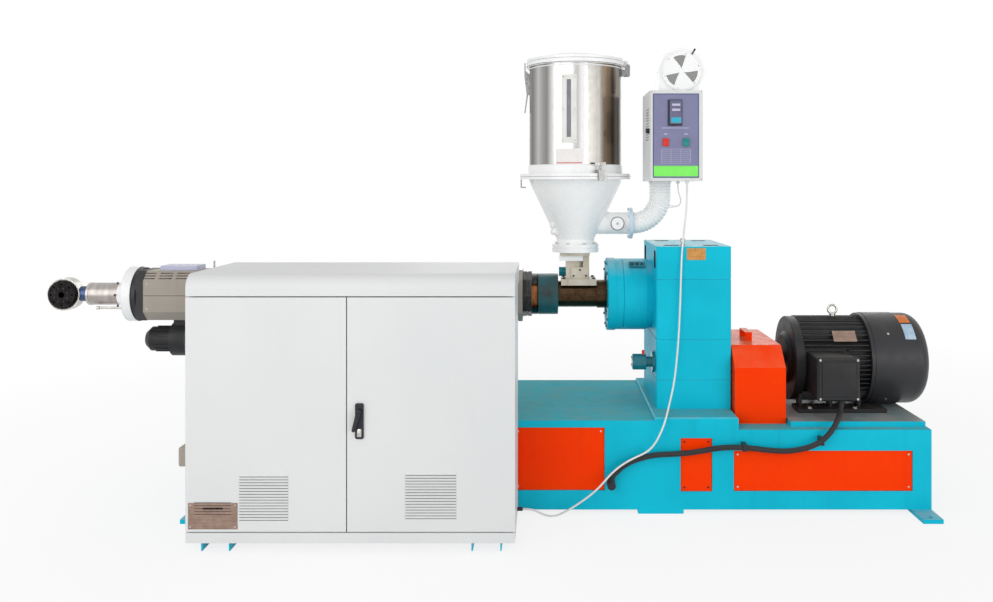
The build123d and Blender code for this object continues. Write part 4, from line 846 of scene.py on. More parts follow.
def new_tree(name: str, inputs: dict[str, str]) -> tuple[Tree, Any]:
    """Starts a Geometry Nodes tree with one geometry output.

    Args:
        name: Its name.
        inputs: The kind of each input, by its name.

    Returns:
        The tree and the sockets of its inputs.
    """
    tree = bpy.data.node_groups.new(name, "GeometryNodeTree")
    for label, kind in inputs.items():
        tree.interface.new_socket(label, in_out="INPUT", socket_type="NodeSocket" + kind)
    tree.interface.new_socket("Result", in_out="OUTPUT", socket_type="NodeSocketGeometry")
    return tree, add_node(tree, "NodeGroupInput").outputs


def end_tree(tree: Tree, copies: Node, finish: Finish) -> Tree:
    """Makes a tree's copies real, paints them and gives them out.

    Args:
        tree: The tree.
        copies: The node that places the copies.
        finish: Their finish.

    Returns:
        The tree.
    """
    real = add_node(tree, "GeometryNodeRealizeInstances", links={"Geometry": copies.outputs[0]})
    painted = add_node(tree, "GeometryNodeSetMaterial", {"Material": finish.material()},
                       {"Geometry": real.outputs[0]})
    add_node(tree, "NodeGroupOutput", links={0: painted.outputs[0]})
    return tree


def fastener_tree(finish: Finish) -> Tree:
    """The Geometry Nodes tree that puts a head on each point, turned by chance about its own axis.

    Args:
        finish: The finish of the heads.

    Returns:
        The tree.
    """
    tree, given = new_tree("fasteners_" + finish.value.name,
                           {"Points": "Geometry", "Head": "Object", "Head Radius": "Float", "Seed": "Int"})
    outward = add_node(tree, "GeometryNodeInputNamedAttribute",
                       {"data_type": "FLOAT_VECTOR", "Name": "outward"})
    aimed = add_node(tree, "FunctionNodeAlignRotationToVector", {"axis": "Z"}, {"Vector": outward.outputs[0]})
    chance = add_node(tree, "FunctionNodeRandomValue", {"data_type": "FLOAT", 2: 0.0, 3: tau},
                      {"Seed": given["Seed"]})
    turn = add_node(tree, "FunctionNodeAxisAngleToRotation", {"Axis": (0.0, 0.0, 1.0)},
                    {"Angle": chance.outputs[1]})
    turned = add_node(tree, "FunctionNodeRotateRotation", {"rotation_space": "LOCAL"},
                      {"Rotation": aimed.outputs[0], "Rotate By": turn.outputs[0]})
    source = add_node(tree, "GeometryNodeObjectInfo", links={"Object": given["Head"]})
    sized = add_node(tree, "ShaderNodeCombineXYZ", links={way: given["Head Radius"] for way in "XYZ"})
    heads = add_node(tree, "GeometryNodeInstanceOnPoints", links={
        "Points": given["Points"], "Instance": source.outputs["Geometry"],
        "Rotation": turned.outputs[0], "Scale": sized.outputs[0],
    })
    return end_tree(tree, heads, finish)


def bar_tree(finish: Finish) -> Tree:
    """The Geometry Nodes tree that lays bars of one size in a row.

    Args:
        finish: The finish of the bars.

    Returns:
        The tree.
    """
    tree, given = new_tree("bars_" + finish.value.name, {
        "Base": "Geometry", "Count": "Int", "Start": "Vector", "Pitch": "Vector", "Bar Size": "Vector",
    })
    line = add_node(tree, "GeometryNodeMeshLine", {"mode": "OFFSET"},
                    {"Count": given["Count"], "Start Location": given["Start"], "Offset": given["Pitch"]})
    bar = add_node(tree, "GeometryNodeMeshCube", links={"Size": given["Bar Size"]})
    bars = add_node(tree, "GeometryNodeInstanceOnPoints",
                    links={"Points": line.outputs[0], "Instance": bar.outputs[0]})
    return end_tree(tree, bars, finish)


def grown(carrier: Piece, tree: Tree, inputs: dict[str, Any], name: str) -> Piece:
    """Runs a tree on a carrier and keeps the result as a plain mesh.

    Args:
        carrier: The object that feeds the tree, which is removed.
        tree: The Geometry Nodes tree.
        inputs: Values for the tree's inputs, by their names.
        name: The new object's name.

    Returns:
        The new object.
    """
    modifier = carrier.modifiers.new("grow", "NODES")
    modifier.node_group = tree
    identifiers = {item.name: item.identifier for item in tree.interface.items_tree if item.in_out == "INPUT"}
    for key, value in inputs.items():
        modifier[identifiers[key]] = value
    graph = bpy.context.evaluated_depsgraph_get()
    mesh = bpy.data.meshes.new_from_object(carrier.evaluated_get(graph))
    bpy.data.objects.remove(carrier)
    mesh.name = name
    return link(name, mesh)


def fasten(name: str, spots: Spots, head: Head, radius: float, finish: Finish,
           body: Body = Body.MACHINE) -> Piece:
    """Sets a group of screws, bolts or rivets.

    Args:
        name: The group's name.
        spots: Where each head sits, in millimetres, and the way that it looks.
        head: The kind of head.
        radius: The radius of a head.
        finish: Its finish.
        body: What the group rides on.

    Returns:
        The group as one piece.
    """
    mesh = bpy.data.meshes.new(name + "_points")
    mesh.from_pydata([tuple(value * MM for value in place) for place, _ in spots], [], [])
    outward = mesh.attributes.new("outward", "FLOAT_VECTOR", "POINT")
    outward.data.foreach_set("vector", [value for _, way in spots for value in unit(way)])
    template = head_template(head)
    piece = grown(link(name + "_points", mesh), fastener_tree(finish),
                  {"Head": template, "Head Radius": radius * MM, "Seed": SPECKLE_SEED}, name)
    bpy.data.objects.remove(template)
    return keep(piece, body)


def lay_bars(name: str, count: int, start: Sequence[float], pitch: Sequence[float], size: Sequence[float],
             finish: Finish, body: Body = Body.MACHINE) -> Piece:
    """Lays a row of equal bars.

    Args:
        name: The row's name.
        count: How many there are.
        start: The centre of the first.
        pitch: The step from one to the next.
        size: The size of a bar.
        finish: Their finish.
        body: What the row rides on.

    Returns:
        The row as one piece.
    """
    places = {"Start": start, "Pitch": pitch, "Bar Size": size}
    inputs = {"Count": count} | {key: [value * MM for value in place] for key, place in places.items()}
    base = link(name + "_base", bpy.data.meshes.new(name + "_base"))
    return keep(grown(base, bar_tree(finish), inputs, name), body)


def corners(low: Sequence[float], high: Sequence[float], inset: float) -> list[Pair]:
    """The four places that lie by an inset inside a rectangle's corners."""
    return [(across, up) for across in (low[0] + inset, high[0] - inset)
            for up in (low[1] + inset, high[1] - inset)]


def riveted_plate(names: tuple[str, str], across: Pair, up: Pair, face_y: float, inset: float, rivet: float,
                  finish: Finish, body: Body = Body.MACHINE) -> None:
    """Fixes a bare plate on a front face by a rivet in each corner.

    Args:
        names: The plate's name and its rivets' name.
        across: Where it starts and ends along X.
        up: Where it starts and ends along Z.
        face_y: Where the face is.
        inset: How far the rivets are from the plate's sides.
        rivet: The radius of a rivet's head.
        finish: The plate's finish.
        body: What it rides on.
    """
    centre = (sum(across) / 2, face_y - PLATE_THICK / 2, sum(up) / 2)
    size = (across[1] - across[0], up[1] - up[0], PLATE_THICK)
    plate(names[0], size, facing(centre, Side.FRONT), finish, body)
    spots = [((x, face_y - PLATE_THICK, z), Side.FRONT) for x, z in corners(*zip(across, up), inset)]
    fasten(names[1], spots, Head.RIVET, rivet, Finish.PLATED, body)


def circle(centre: Sequence[float], radius: float, count: int, side: Side, start: float = 0.0) -> Spots:
    """Spots on a circle, for fasten.

    Args:
        centre: The circle's centre.
        radius: Its radius.
        count: How many spots there are.
        side: The way that they all look.
        start: The angle of the first, in radians.

    Returns:
        The spots.
    """
    across, up = {Side.LEFT: (1, 2), Side.FRONT: (0, 2), Side.UP: (0, 1)}[side]
    spots = []
    for number in range(count):
        place = list(centre)
        angle = number * tau / count + start
        place[across] += radius * cos(angle)
        place[up] += radius * sin(angle)
        spots.append((place, side))
    return spots


# Sub-assemblies

@dataclass
class BaseFrame:
    """The welded base with its foot bars and the orange covers in its sides."""

    face_y: float = 446.0
    plate_level: float = 427.0
    deck_levels: Place = (446.0, 460.0, 402.0)
    screw_inset: float = 19.0
    screw_radius: float = 5.0
    covers: dict[str, tuple[Pair, Pair]] = field(default_factory=lambda: {
        "left": ((-1100.0, -269.0), (112.0, 413.0)),
        "middle": ((94.0, 246.0), (106.0, 362.0)),
        "right": ((349.0, 1206.0), (108.0, 302.0)),
    })

    def dress(self) -> None:
        """Paints the base, greasy under the motor and dusty on its decks, and its covers."""
        dress(Finish.TEAL, "base_frame", patches=(
            (Finish.GREASY, lambda at: abs(at.z - self.plate_level) < 0.5),
            (Finish.DECK, lambda at: any(abs(at.z - level) < 0.5 for level in self.deck_levels)),
        ))
        dress(Finish.TEAL, "foot_bars")
        dress(Finish.ORANGE, "front_panels", "back_panels")

    def build(self) -> None:
        """Sets the screws of the covers, with two more on the long cover at the left."""
        for name, side in (("front", Side.FRONT), ("back", Side.BACK)):
            for cover, ((left, right), (low, high)) in self.covers.items():
                places = corners((left, low), (right, high), self.screw_inset)
                if cover == "left":
                    middle = (left + right) / 2
                    places += [(middle, low + self.screw_inset), (middle, high - self.screw_inset)]
                spots = [((x, side.vector.y * self.face_y, z), side) for x, z in places]
                fasten(f"{name}_{cover}_cover_screws", spots, Head.PAN, self.screw_radius,
                       Finish.BOLT if cover == "middle" else Finish.PLATED)


@dataclass
class Gearbox:
    """The cast gear case, the output housing on its left face and the oil pump below that."""

    front_y: float = -280.0
    top_z: float = 1268.0
    pocket_floor_z: float = 1238.0
    pocket_x: Pair = (86.0, 286.0)
    pocket_y: float = 190.0
    side_pocket: Place = (30.0, 210.0, 1198.0)
    bolt_radius: float = 15.0
    flange_x: float = -232.0
    flange_bolt_circle: float = 168.0
    flange_bolts: int = 12
    pump_face: Place = (-112.0, -190.0, 678.0)
    pump_bolt_circle: float = 26.0
    plate_x: Pair = (151.0, 245.0)
    plate_z: Pair = (1201.0, 1260.0)
    housing_radius: float = 189.5
    small_plate_x: Pair = (-120.0, -38.0)
    small_plate_angle: float = 58.0

    def dress(self) -> None:
        """Paints the case, black in its pockets as painted shade in the recesses, and the housing."""
        dress(Finish.TEAL, "gearbox", patches=(
            # Painted shade: the top pockets and the side pockets are painted black where shade falls in the
            # recesses
            (Finish.BLACK, lambda at: 1236 < at.z < 1266 and abs(abs(at.y) - 190) < 34 and 40 < at.x < 332),
            (Finish.BLACK, lambda at: 1 < at.x < 31 and abs(abs(at.y) - 210) < 40 and 1150 < at.z < 1246),
        ))
        dress(Finish.TEAL, "output_housing", patches=(
            # The housing's left face is darker, partly oil and partly painted shade
            (Finish.TEAL_SHADED_OILY, lambda at: at.x < -222 and at.y ** 2 + (at.z - SCREW_Z) ** 2 < 122 ** 2),
        ))
        dress(Finish.TEAL_SHADED_OILY, "oil_pump")

    def bolts(self) -> None:
        """Sets the bolts in the pockets, round the output flange and on the pump."""
        spots = [((x, y, self.pocket_floor_z), Side.UP) for y in (-self.pocket_y, self.pocket_y)
                 for x in self.pocket_x]
        fasten("gearbox_top_bolts", spots, Head.HEX, self.bolt_radius, Finish.BOLT)
        x, y, z = self.side_pocket
        fasten("gearbox_side_bolts", [((x, -y, z), Side.LEFT), ((x, y, z), Side.LEFT)], Head.HEX,
               self.bolt_radius, Finish.BOLT)
        spots = circle((self.flange_x, 0, SCREW_Z), self.flange_bolt_circle, self.flange_bolts, Side.LEFT,
                       pi / self.flange_bolts)
        fasten("output_flange_bolts", spots, Head.SOCKET, 7.0, Finish.TEAL_SHADED_OILY)
        spots = circle(self.pump_face, self.pump_bolt_circle, 4, Side.LEFT, 0.8)
        fasten("oil_pump_bolts", spots, Head.SOCKET, 5.0, Finish.PLATED)

    def plates(self) -> None:
        """Fixes the bare plates on the case and the housing."""
        riveted_plate(("gearbox_brass_plate", "gearbox_plate_rivets"), self.plate_x, self.plate_z,
                      self.front_y, 5.0, 2.2, Finish.BRASSY)
        angles = (self.small_plate_angle - 7, self.small_plate_angle + 7)
        Shape().wrap(self.housing_radius, 5.5, angles, self.small_plate_x, along_x(SCREW_Z), 6).keep(
            "housing_cover_plate", Finish.TEAL_SHADED_OILY)
        out = out_of_x(self.small_plate_angle)
        top = Vector((0, 0, SCREW_Z)) + out * (self.housing_radius + 5.5)
        spots = [((x, top.y, top.z), out) for x in (-104.0, -79.0, -54.0)]
        fasten("housing_cover_screws", spots, Head.SOCKET, 5.0, Finish.BOLT)

    def breather(self) -> None:
        """Sets the breather cap on top of the case, and the tag on the oil pump."""
        profile = ((0, 0), (13, 0), (13, 7), (8, 8), (8, 15), (14, 17), (14, 30), (11, 34), (0, 35))
        Shape().turned(profile, Matrix.Translation((150.0, -150.0, self.top_z - 0.5))).keep(
            "gearbox_breather", Finish.PLATED, True)
        Shape().slab((14, 24, 3), facing((-58.0, -201.0, 727.0), Side.FRONT), 1.0).keep(
            "oil_pump_tag", Finish.RED_PLASTIC)

    def build(self) -> None:
        """Adds everything on the gear case."""
        self.bolts()
        self.plates()
        self.breather()


@dataclass
class Barrel:
    """The screw barrel from the gearbox to the die head: feed section, jacket, cover and blower."""

    cover_x: Pair = (-2663.0, -671.0)
    cover_half: float = 128.0
    cover_bevel: float = 48.0
    cover_screw_rise: float = 64.0
    cover_screw_pitch: float = 232.0
    band_width: float = 40.0
    seam_length: float = 1984.0
    die_x: float = -3080.0
    die_face_y: float = -60.0
    die_rim: float = 78.0
    bead_x: Pair = (-2735.0, -2690.0)

    def dress(self) -> None:
        """Gives each section its metal or its paint."""
        dress(Finish.OILED, "feed_section")
        dress(Finish.BURNT, "cooling_jacket", patches=(
            (Finish.WINDOW, lambda at: -622 < at.x < -596 and abs(at.z - SCREW_Z) < 60 and at.y < 0),
            (Finish.DARK, lambda at: at.x < -575),
        ))
        dress(Finish.DARK, "faceted_collar")
        dress(Finish.BEIGE, "barrel_cover", patches=(
            (Finish.DARK, self.in_slot),
            (Finish.BRIGHT, lambda at: at.z > 1128.5 and at.x > -2340),
            (Finish.LILAC, lambda at: at.z > 1128.5),
        ))
        dress(Finish.TEAL, "barrel_supports")
        dress(Finish.WHITE, "end_ring", patches=((Finish.BLACK, lambda at: at.x > self.bead_x[1]),))
        dress(Finish.ROSY, "adapter", patches=(
            (Finish.WHITE, lambda at: at.x > -2796),
            (Finish.BLUED, lambda at: at.x < -2957),
        ))
        dress(Finish.SOOTY, "die_head", patches=(
            (Finish.PLATED, lambda at: (at.x - self.die_x) ** 2 + (at.z - SCREW_Z) ** 2 > self.die_rim ** 2),
            (Finish.PLATED, lambda at: at.y > 30),
        ))
        dress(Finish.CAST, "barrel_blower")

    @staticmethod
    def in_slot(at: Vector) -> bool:
        """Whether a face lies inside a slot of the barrel cover, below the bevel that carries it."""
        out, rise = abs(at.y), abs(at.z - SCREW_Z)
        return out + rise < 204.5 and out > 70 and rise > 70 and -2655 < at.x < -695

    def bolts(self) -> None:
        """Sets the screws of the cover, the die head and the adapter."""
        places = [self.cover_x[0] + 60 + number * self.cover_screw_pitch for number in range(9)]
        spots = [((x, side.vector.y * self.cover_half, SCREW_Z + rise), side) for x in places
                 for side in (Side.FRONT, Side.BACK)
                 for rise in (self.cover_screw_rise, -self.cover_screw_rise)]
        fasten("barrel_cover_screws", spots, Head.PAN, 4.5, Finish.PLATED)
        for name, centre, circle_radius, count, side, start, radius in (
                ("die_face_screws", (self.die_x, self.die_face_y, SCREW_Z), 36, 8, Side.FRONT, pi / 8, 5.0),
                ("adapter_flange_bolts", (-2795.0, 0, SCREW_Z), 68, 6, Side.LEFT, 0.0, 6.0),
                ("collar_screws", (self.cover_x[1], 0, SCREW_Z), 92, 8, Side.LEFT, 0.0, 6.0)):
            fasten(name, circle(centre, circle_radius, count, side, start), Head.SOCKET, radius, Finish.BOLT)

    def trims(self) -> None:
        """Adds the pipe under the adapter, the rings and bands at the barrel's end and the cover's seam."""
        profile = ((0, -0.5), (9, -0.5), (9, 6), (6, 8), (6, 150), (8, 152), (8, 168), (0, 168))
        Shape().turned(profile, facing((-2737.0, -40.0, 930.0), Side.LEFT), 16).keep(
            "melt_sensor_pipe", Finish.PLATED, True)
        shape = Shape()
        for x in self.bead_x:
            shape.ring(142.5, 1.6, facing((x, 0, SCREW_Z), Side.LEFT), 72, 6)
        shape.keep("end_ring_beads", Finish.WHITE, True)
        wide, tall = self.cover_half + 2.0, self.cover_half - self.cover_bevel + 0.8
        rim = ((wide, -tall), (wide, tall), (tall, wide), (-tall, wide), (-wide, tall), (-wide, -tall),
               (-tall, -wide), (tall, -wide))
        edge = [Vector((self.cover_x[0] - 1.0, y, SCREW_Z + z)) for y, z in rim]
        Shape().prism(edge, (self.band_width, 0, 0)).keep("barrel_cover_end_band", Finish.BLACK)
        profile = ((50, -2958), (58.5, -2958), (59.5, -2957), (59.5, -2945), (58.5, -2944), (50, -2944),
                   (50, -2958))
        Shape().turned(profile, facing((0, 0, SCREW_Z), Side.RIGHT), 48).keep(
            "adapter_bright_ring", Finish.BRIGHT, True)
        for side, name in ((-1, "front"), (1, "back")):
            lay_bars(f"barrel_cover_{name}_seam", 1, (-1667.0, side * self.cover_half, 1004.0), (0, 0, 1),
                     (self.seam_length, 1.2, 2.2), Finish.DARK)

    def build(self) -> None:
        """Adds everything on the barrel."""
        self.bolts()
        self.trims()


@dataclass
class FeedThroat:
    """The throat between the hopper and the feed section, with its slide gate."""

    foot_z: float = 1084.0
    bolt_inset: float = 14.0
    block_y: float = -55.0

    def dress(self) -> None:
        """Paints the throat, greasy at its foot, and the gate."""
        dress(Finish.CREAM, "feed_throat", patches=((Finish.OILED, lambda at: at.z < 1050.5),))
        dress(Finish.WHITE, "slide_gate", patches=((Finish.TEAL_SHADED_OILY, lambda at: at.z < 1160),))

    def build(self) -> None:
        """Sets the bolts of the foot plate and of the block."""
        spots = [((x, y, self.foot_z), Side.UP) for x, y in corners((-470, -75), (-287, 75), self.bolt_inset)]
        fasten("throat_foot_bolts", spots, Head.SOCKET, 8.0, Finish.BOLT)
        spots = [((x, self.block_y, z), Side.FRONT) for x, z in ((-405, 1100), (-340, 1100), (-372, 1130))]
        fasten("throat_block_screws", spots, Head.SOCKET, 5.0, Finish.BOLT)


@dataclass
class Hopper:
    """The loading hopper: cone, polished drum, sight glass and hinged lid."""

    axis_x: float = -394.0
    drum_radius: float = 243.0
    sight_angle: float = -9.5
    sight_slot_z: Pair = (1815.0, 2105.0)
    label_angles: Pair = (-26.0, 7.0)
    label_z: Pair = (1679.0, 1758.0)
    foot_bolt_circle: float = 112.0
    foot_top_z: float = 1266.0
    cleanout_angle: float = 208.0
    inlet_z: float = 1374.0
    inlet_pipe: float = 80.0
    cap_x: float = -178.0

    def dress(self) -> None:
        """Gives the cone, drum, glass, lid and fittings their finishes."""
        dress(Finish.WHITE, "hopper_cone", "hopper_lid", "air_elbow")
        dress(Finish.DRUM, "hopper_drum", patches=((Finish.WHITE, lambda at: at.z < 1675.6),))
        dress(Finish.WHITE_PLASTIC, "sight_glass")
        dress(Finish.STAINLESS, "hopper_hardware")
        dress(Finish.WHITE, "air_inlet", patches=((Finish.BLUE_EDGE, self.on_inlet_rim),))

    def on_inlet_rim(self, at: Vector) -> bool:
        """Whether a face lies on the rim of the inlet's flange."""
        return at.x > -116 and (at.y ** 2 + (at.z - self.inlet_z) ** 2) ** 0.5 > self.inlet_pipe

    def rims(self) -> None:
        """Adds the lid's gasket lines, the beads of the drum and the seam of the cone's flange."""
        gasket = ((257.0, 2.0, 2194.0), (257.0, 1.2, 2215.0))
        for name, finish, body, wire_sides, rings in (
                ("lid_gasket_lines", Finish.STAINLESS, Body.LID, 8, gasket),
                ("drum_top_bead", Finish.WHITE, Body.MACHINE, 8, ((244.0, 3.0, 2181.0),)),
                ("drum_foot_bead", Finish.WHITE, Body.MACHINE, 8, ((244.0, 2.2, 1677.0),)),
                ("flange_gasket_line", Finish.DARK_PLASTIC, Body.MACHINE, 6, ((292.2, 1.3, 1617.0),))):
            shape = Shape()
            for radius, wire, height in rings:
                shape.ring(radius, wire, Matrix.Translation((self.axis_x, 0, height)), 96, wire_sides)
            shape.keep(name, finish, True, body)

    def glass(self) -> None:
        """Adds the dark pane in the sight glass's slot, painted shade of the hollow drum behind it, and its
        frame's screws.
        """
        angle = radians(self.sight_angle)
        out = Vector((sin(angle), -cos(angle), 0))
        across = Vector((cos(angle), sin(angle), 0))
        low, high = self.sight_slot_z
        place = Vector((self.axis_x, 0, (low + high) / 2)) + out * (self.drum_radius + 4.0)
        # Painted shade: the pane is dark for the unlit hollow of the drum behind it
        plate("sight_pane", (21.0, high - low - 1.5, 3.0), facing(place, out), Finish.SIGHT_SHADE, edge=1.0)
        spots = [(Vector((self.axis_x, 0, z)) + out * (self.drum_radius + 7.4) + across * side * 29, out)
                 for z in (1798.0, 1957.0, 2117.0) for side in (-1, 1)]
        fasten("sight_glass_screws", spots, Head.PAN, 4.0, Finish.PLATED)

    def label(self) -> None:
        """Sticks the bare label on the drum, with one plain line."""
        for name, lift, thick, angles, heights, finish in (
                ("drum_label", 0.2, 0.8, self.label_angles, self.label_z, Finish.LABEL),
                ("drum_label_line", 0.7, 0.7, (-25.0, 6.0), (1683.0, 1688.0), Finish.RED_INK)):
            shape = Shape().wrap(self.drum_radius + lift, thick, angles, heights, around_z(self.axis_x), 14)
            shape.keep(name, finish)

    def foot(self) -> None:
        """Sets the bolts of the cone's foot and the clean-out plugs on its side."""
        centre = (self.axis_x, 0, self.foot_top_z)
        spots = circle(centre, self.foot_bolt_circle, 8, Side.UP, pi / 8)
        fasten("hopper_foot_bolts", spots, Head.HEX, 7.5, Finish.PLATED)
        angle = radians(self.cleanout_angle)
        out = Vector((cos(angle), sin(angle), 0))
        shape = Shape()
        for height, radius, wide in ((1352.0, 92.0, 15.0), (1318.0, 86.0, 17.0)):
            place = Vector((self.axis_x, 0, height)) + out * radius
            profile = ((0, 0), (wide, 0), (wide, 44), (wide + 4, 46), (wide + 4, 55), (wide - 3, 59), (0, 60))
            shape.turned(profile, facing(place, out + Vector((0, 0, 0.35))))
        shape.keep("cone_cleanout_plugs", Finish.WHITE, True)

    def inlet(self) -> None:
        """Adds the dark ring of the inspection cap, its knob, the flange's bolts and the elbow's clamps."""
        Shape().ring(34.0, 1.8, facing((self.cap_x, -85.4, self.inlet_z), Side.FRONT)).keep(
            "inspection_cap_ring", Finish.DARK_PLASTIC, True)
        Shape().turned(((0, -0.5), (6, -0.5), (6, 3), (4, 5), (0, 5.5)),
                       facing((self.cap_x, -86.0, self.inlet_z), Side.FRONT), 16).keep(
            "inspection_cap_knob", Finish.PLATED, True)
        spots = circle((-115.0, 0, self.inlet_z), 72, 6, Side.LEFT, 0.5)
        fasten("inlet_flange_bolts", spots, Head.HEX, 5.0, Finish.PLATED)
        Shape().ring(58.5, 3.0, facing((-89.0, 0, self.inlet_z), Side.RIGHT)).ring(
            58.5, 3.0, Matrix.Translation((53.0, 0, 1588.0))).keep("elbow_clamp_rings", Finish.WHITE, True)

    def build(self) -> None:
        """Adds everything on the hopper."""
        self.rims()
        self.glass()
        self.label()
        self.foot()
        self.inlet()


@dataclass
class Dryer:
    """The hot-air dryer: its box with the control panel, and the blower on top."""

    face_y: float = -293.0
    line: float = 3.5
    panel_x: Pair = (-19.0, 209.0)
    panel_z: Pair = (1610.0, 2028.0)
    display_x: Pair = (55.0, 125.0)
    display_z: Pair = (1868.0, 1997.0)
    green_z: Pair = (1617.0, 1669.0)
    table_x: Pair = (22.0, 168.0)
    table_z: Pair = (1682.0, 1752.0)
    fan_x: float = 128.0
    fan_z: float = 2143.0
    fan_face_y: float = -264.0
    vent_starts: Place = (75.0, 195.0, 315.0)
    vent_span: float = 47.0

    def dress(self) -> None:
        """Paints the box, the film on its face, the controls and the blower."""
        dress(Finish.POWDER, "dryer_box", patches=(
            (Finish.BLACK, lambda at: -31.9 < at.x < -27 and -224 < at.y < -96 and 1800 < at.z < 1975),
        ))
        dress(Finish.PANEL, "dryer_panel")
        dress(Finish.DARK_PLASTIC, "dryer_controls", patches=(
            (Finish.RED_PLASTIC, lambda at: at.z < 1810 and at.x < 75),
            (Finish.GREEN_PLASTIC, lambda at: at.z < 1810 and at.x > 75),
        ))
        dress(Finish.WHITE, "dryer_blower")

    def film(self) -> None:
        """Lays the panel's dark edge, its green strip and its bare ruled table."""
        (left, right), (low, high) = self.panel_x, self.panel_z
        centre_x, centre_z = (left + right) / 2, (low + high) / 2
        level, upright = (right - left, self.line, 0.8), (self.line, high - low, 0.8)
        shape = Shape()
        for x, z, size in ((centre_x, low + 2, level), (centre_x, high - 2, level),
                           (left + 2, centre_z, upright), (right - 2, centre_z, upright)):
            shape.slab(size, facing((x, self.face_y - 0.2, z), Side.FRONT), 0.2, 1)
        shape.keep("panel_edge_line", Finish.PANEL_EDGE)
        centre = (centre_x, self.face_y - 0.3, sum(self.green_z) / 2)
        plate("panel_green_strip", (right - left - 8, self.green_z[1] - self.green_z[0], 0.9),
              facing(centre, Side.FRONT), Finish.GREEN, edge=0.2)
        wide, tall = self.table_x[1] - self.table_x[0], self.table_z[1] - self.table_z[0]
        west, foot = self.table_x[0], self.table_z[0]
        for name, count, (x, z), pitch, (across, up) in (
                ("panel_table_rules", 8, (west + wide / 2, foot), (0, 0, tall / 7), (wide, 1.4)),
                ("panel_table_columns", 4, (west, foot + tall / 2), (wide / 3, 0, 0), (1.4, tall)),
                ("panel_heading_line", 1, (92.0, 1857.0), (0, 0, 1), (134.0, 3.0)),
                ("panel_switch_marks", 2, (44.0, 1827.0), (101.0, 0, 0), (17.0, 5.0))):
            lay_bars(name, count, (x, self.face_y - 0.2, z), pitch, (across, 0.7, up), Finish.PALE_INK)

    def display(self) -> None:
        """Fits the display's pane with its plain pale and cyan bars, and the rockers of the switches."""
        (left, right), (low, high) = self.display_x, self.display_z
        front = self.face_y - 6.0
        centre = ((left + right) / 2 + 3, front - 0.3, (low + high) / 2 + 3)
        plate("display_pane", (right - left - 12, high - low - 12, 1.2), facing(centre, Side.FRONT),
              Finish.DISPLAY, edge=0.4)
        for name, z, wide, tall, finish in (("display_bar_high", 1972.0, 40.0, 11.0, Finish.PALE_INK),
                                            ("display_bar_low", 1947.0, 40.0, 11.0, Finish.PALE_INK),
                                            ("display_keys", 1896.0, 50.0, 26.0, Finish.CYAN_INK)):
            plate(name, (wide, tall, 0.8), facing((95.0, front - 1.1, z), Side.FRONT), finish, edge=0.3,
                  slot="moulded_plastic")
        for name, x, finish in (("red_rocker", 44.0, Finish.RED_PLASTIC),
                                ("green_rocker", 145.0, Finish.GREEN_PLASTIC)):
            shape = Shape()
            for up, lean in ((8.5, 14.0), (-8.5, -6.0)):
                matrix = facing((x, self.face_y - 9.5, 1785.5 + up), Side.FRONT)
                shape.slab((20.0, 17.5, 4.5), matrix @ Matrix.Rotation(radians(lean), 4, "X"), 1.2)
            shape.keep(name, finish)

    def blower(self) -> None:
        """Adds the blower's hub, its three vents behind mesh, its lever, its screws and the bead."""
        face = facing((self.fan_x, self.fan_face_y, self.fan_z), Side.FRONT)
        hub = Shape().turned(((0, -0.5), (13, -0.5), (13, 2), (9, 4), (0, 4.5)), face)
        hub.ring(91.0, 1.8, face, 72, 6).keep("blower_face_bead", Finish.WHITE, True)
        shape = Shape()
        for start in self.vent_starts:
            rim = [radians(start + step * self.vent_span / 10) for step in range(11)]
            edge = [(14.0, rim[4]), *((80, way) for way in rim), (38, rim[8])]
            corner_places = [face @ Vector((reach * cos(way), reach * sin(way), -0.5)) for reach, way in edge]
            shape.prism(corner_places, (0, -1.0, 0))
        shape.keep("blower_vent_mesh", Finish.VENT_MESH)
        profile = ((0, 0), (3.5, 0), (3.5, 20), (5, 21), (5, 32), (3.5, 34), (0, 34))
        foot = (self.fan_x + 52, -253.0, self.fan_z + 84)
        Shape().turned(profile, facing(foot, Vector((0.5, 0, 0.87)), Vector((0, -1, 0))), 14).keep(
            "blower_damper_lever", Finish.DARK_PLASTIC, True)
        spots = circle((self.fan_x, self.fan_face_y, self.fan_z), 88, 6, Side.FRONT, 0.3)
        fasten("blower_face_screws", spots, Head.PAN, 3.6, Finish.PLATED)
        spots = [((x, -290.0, z), Side.FRONT) for x, z in corners((-32, 1594), (229, 2045), 7.0)]
        fasten("dryer_box_screws", spots, Head.PAN, 3.2, Finish.PLATED)

    def build(self) -> None:
        """Adds everything on the dryer."""
        self.film()
        self.display()
        self.blower()


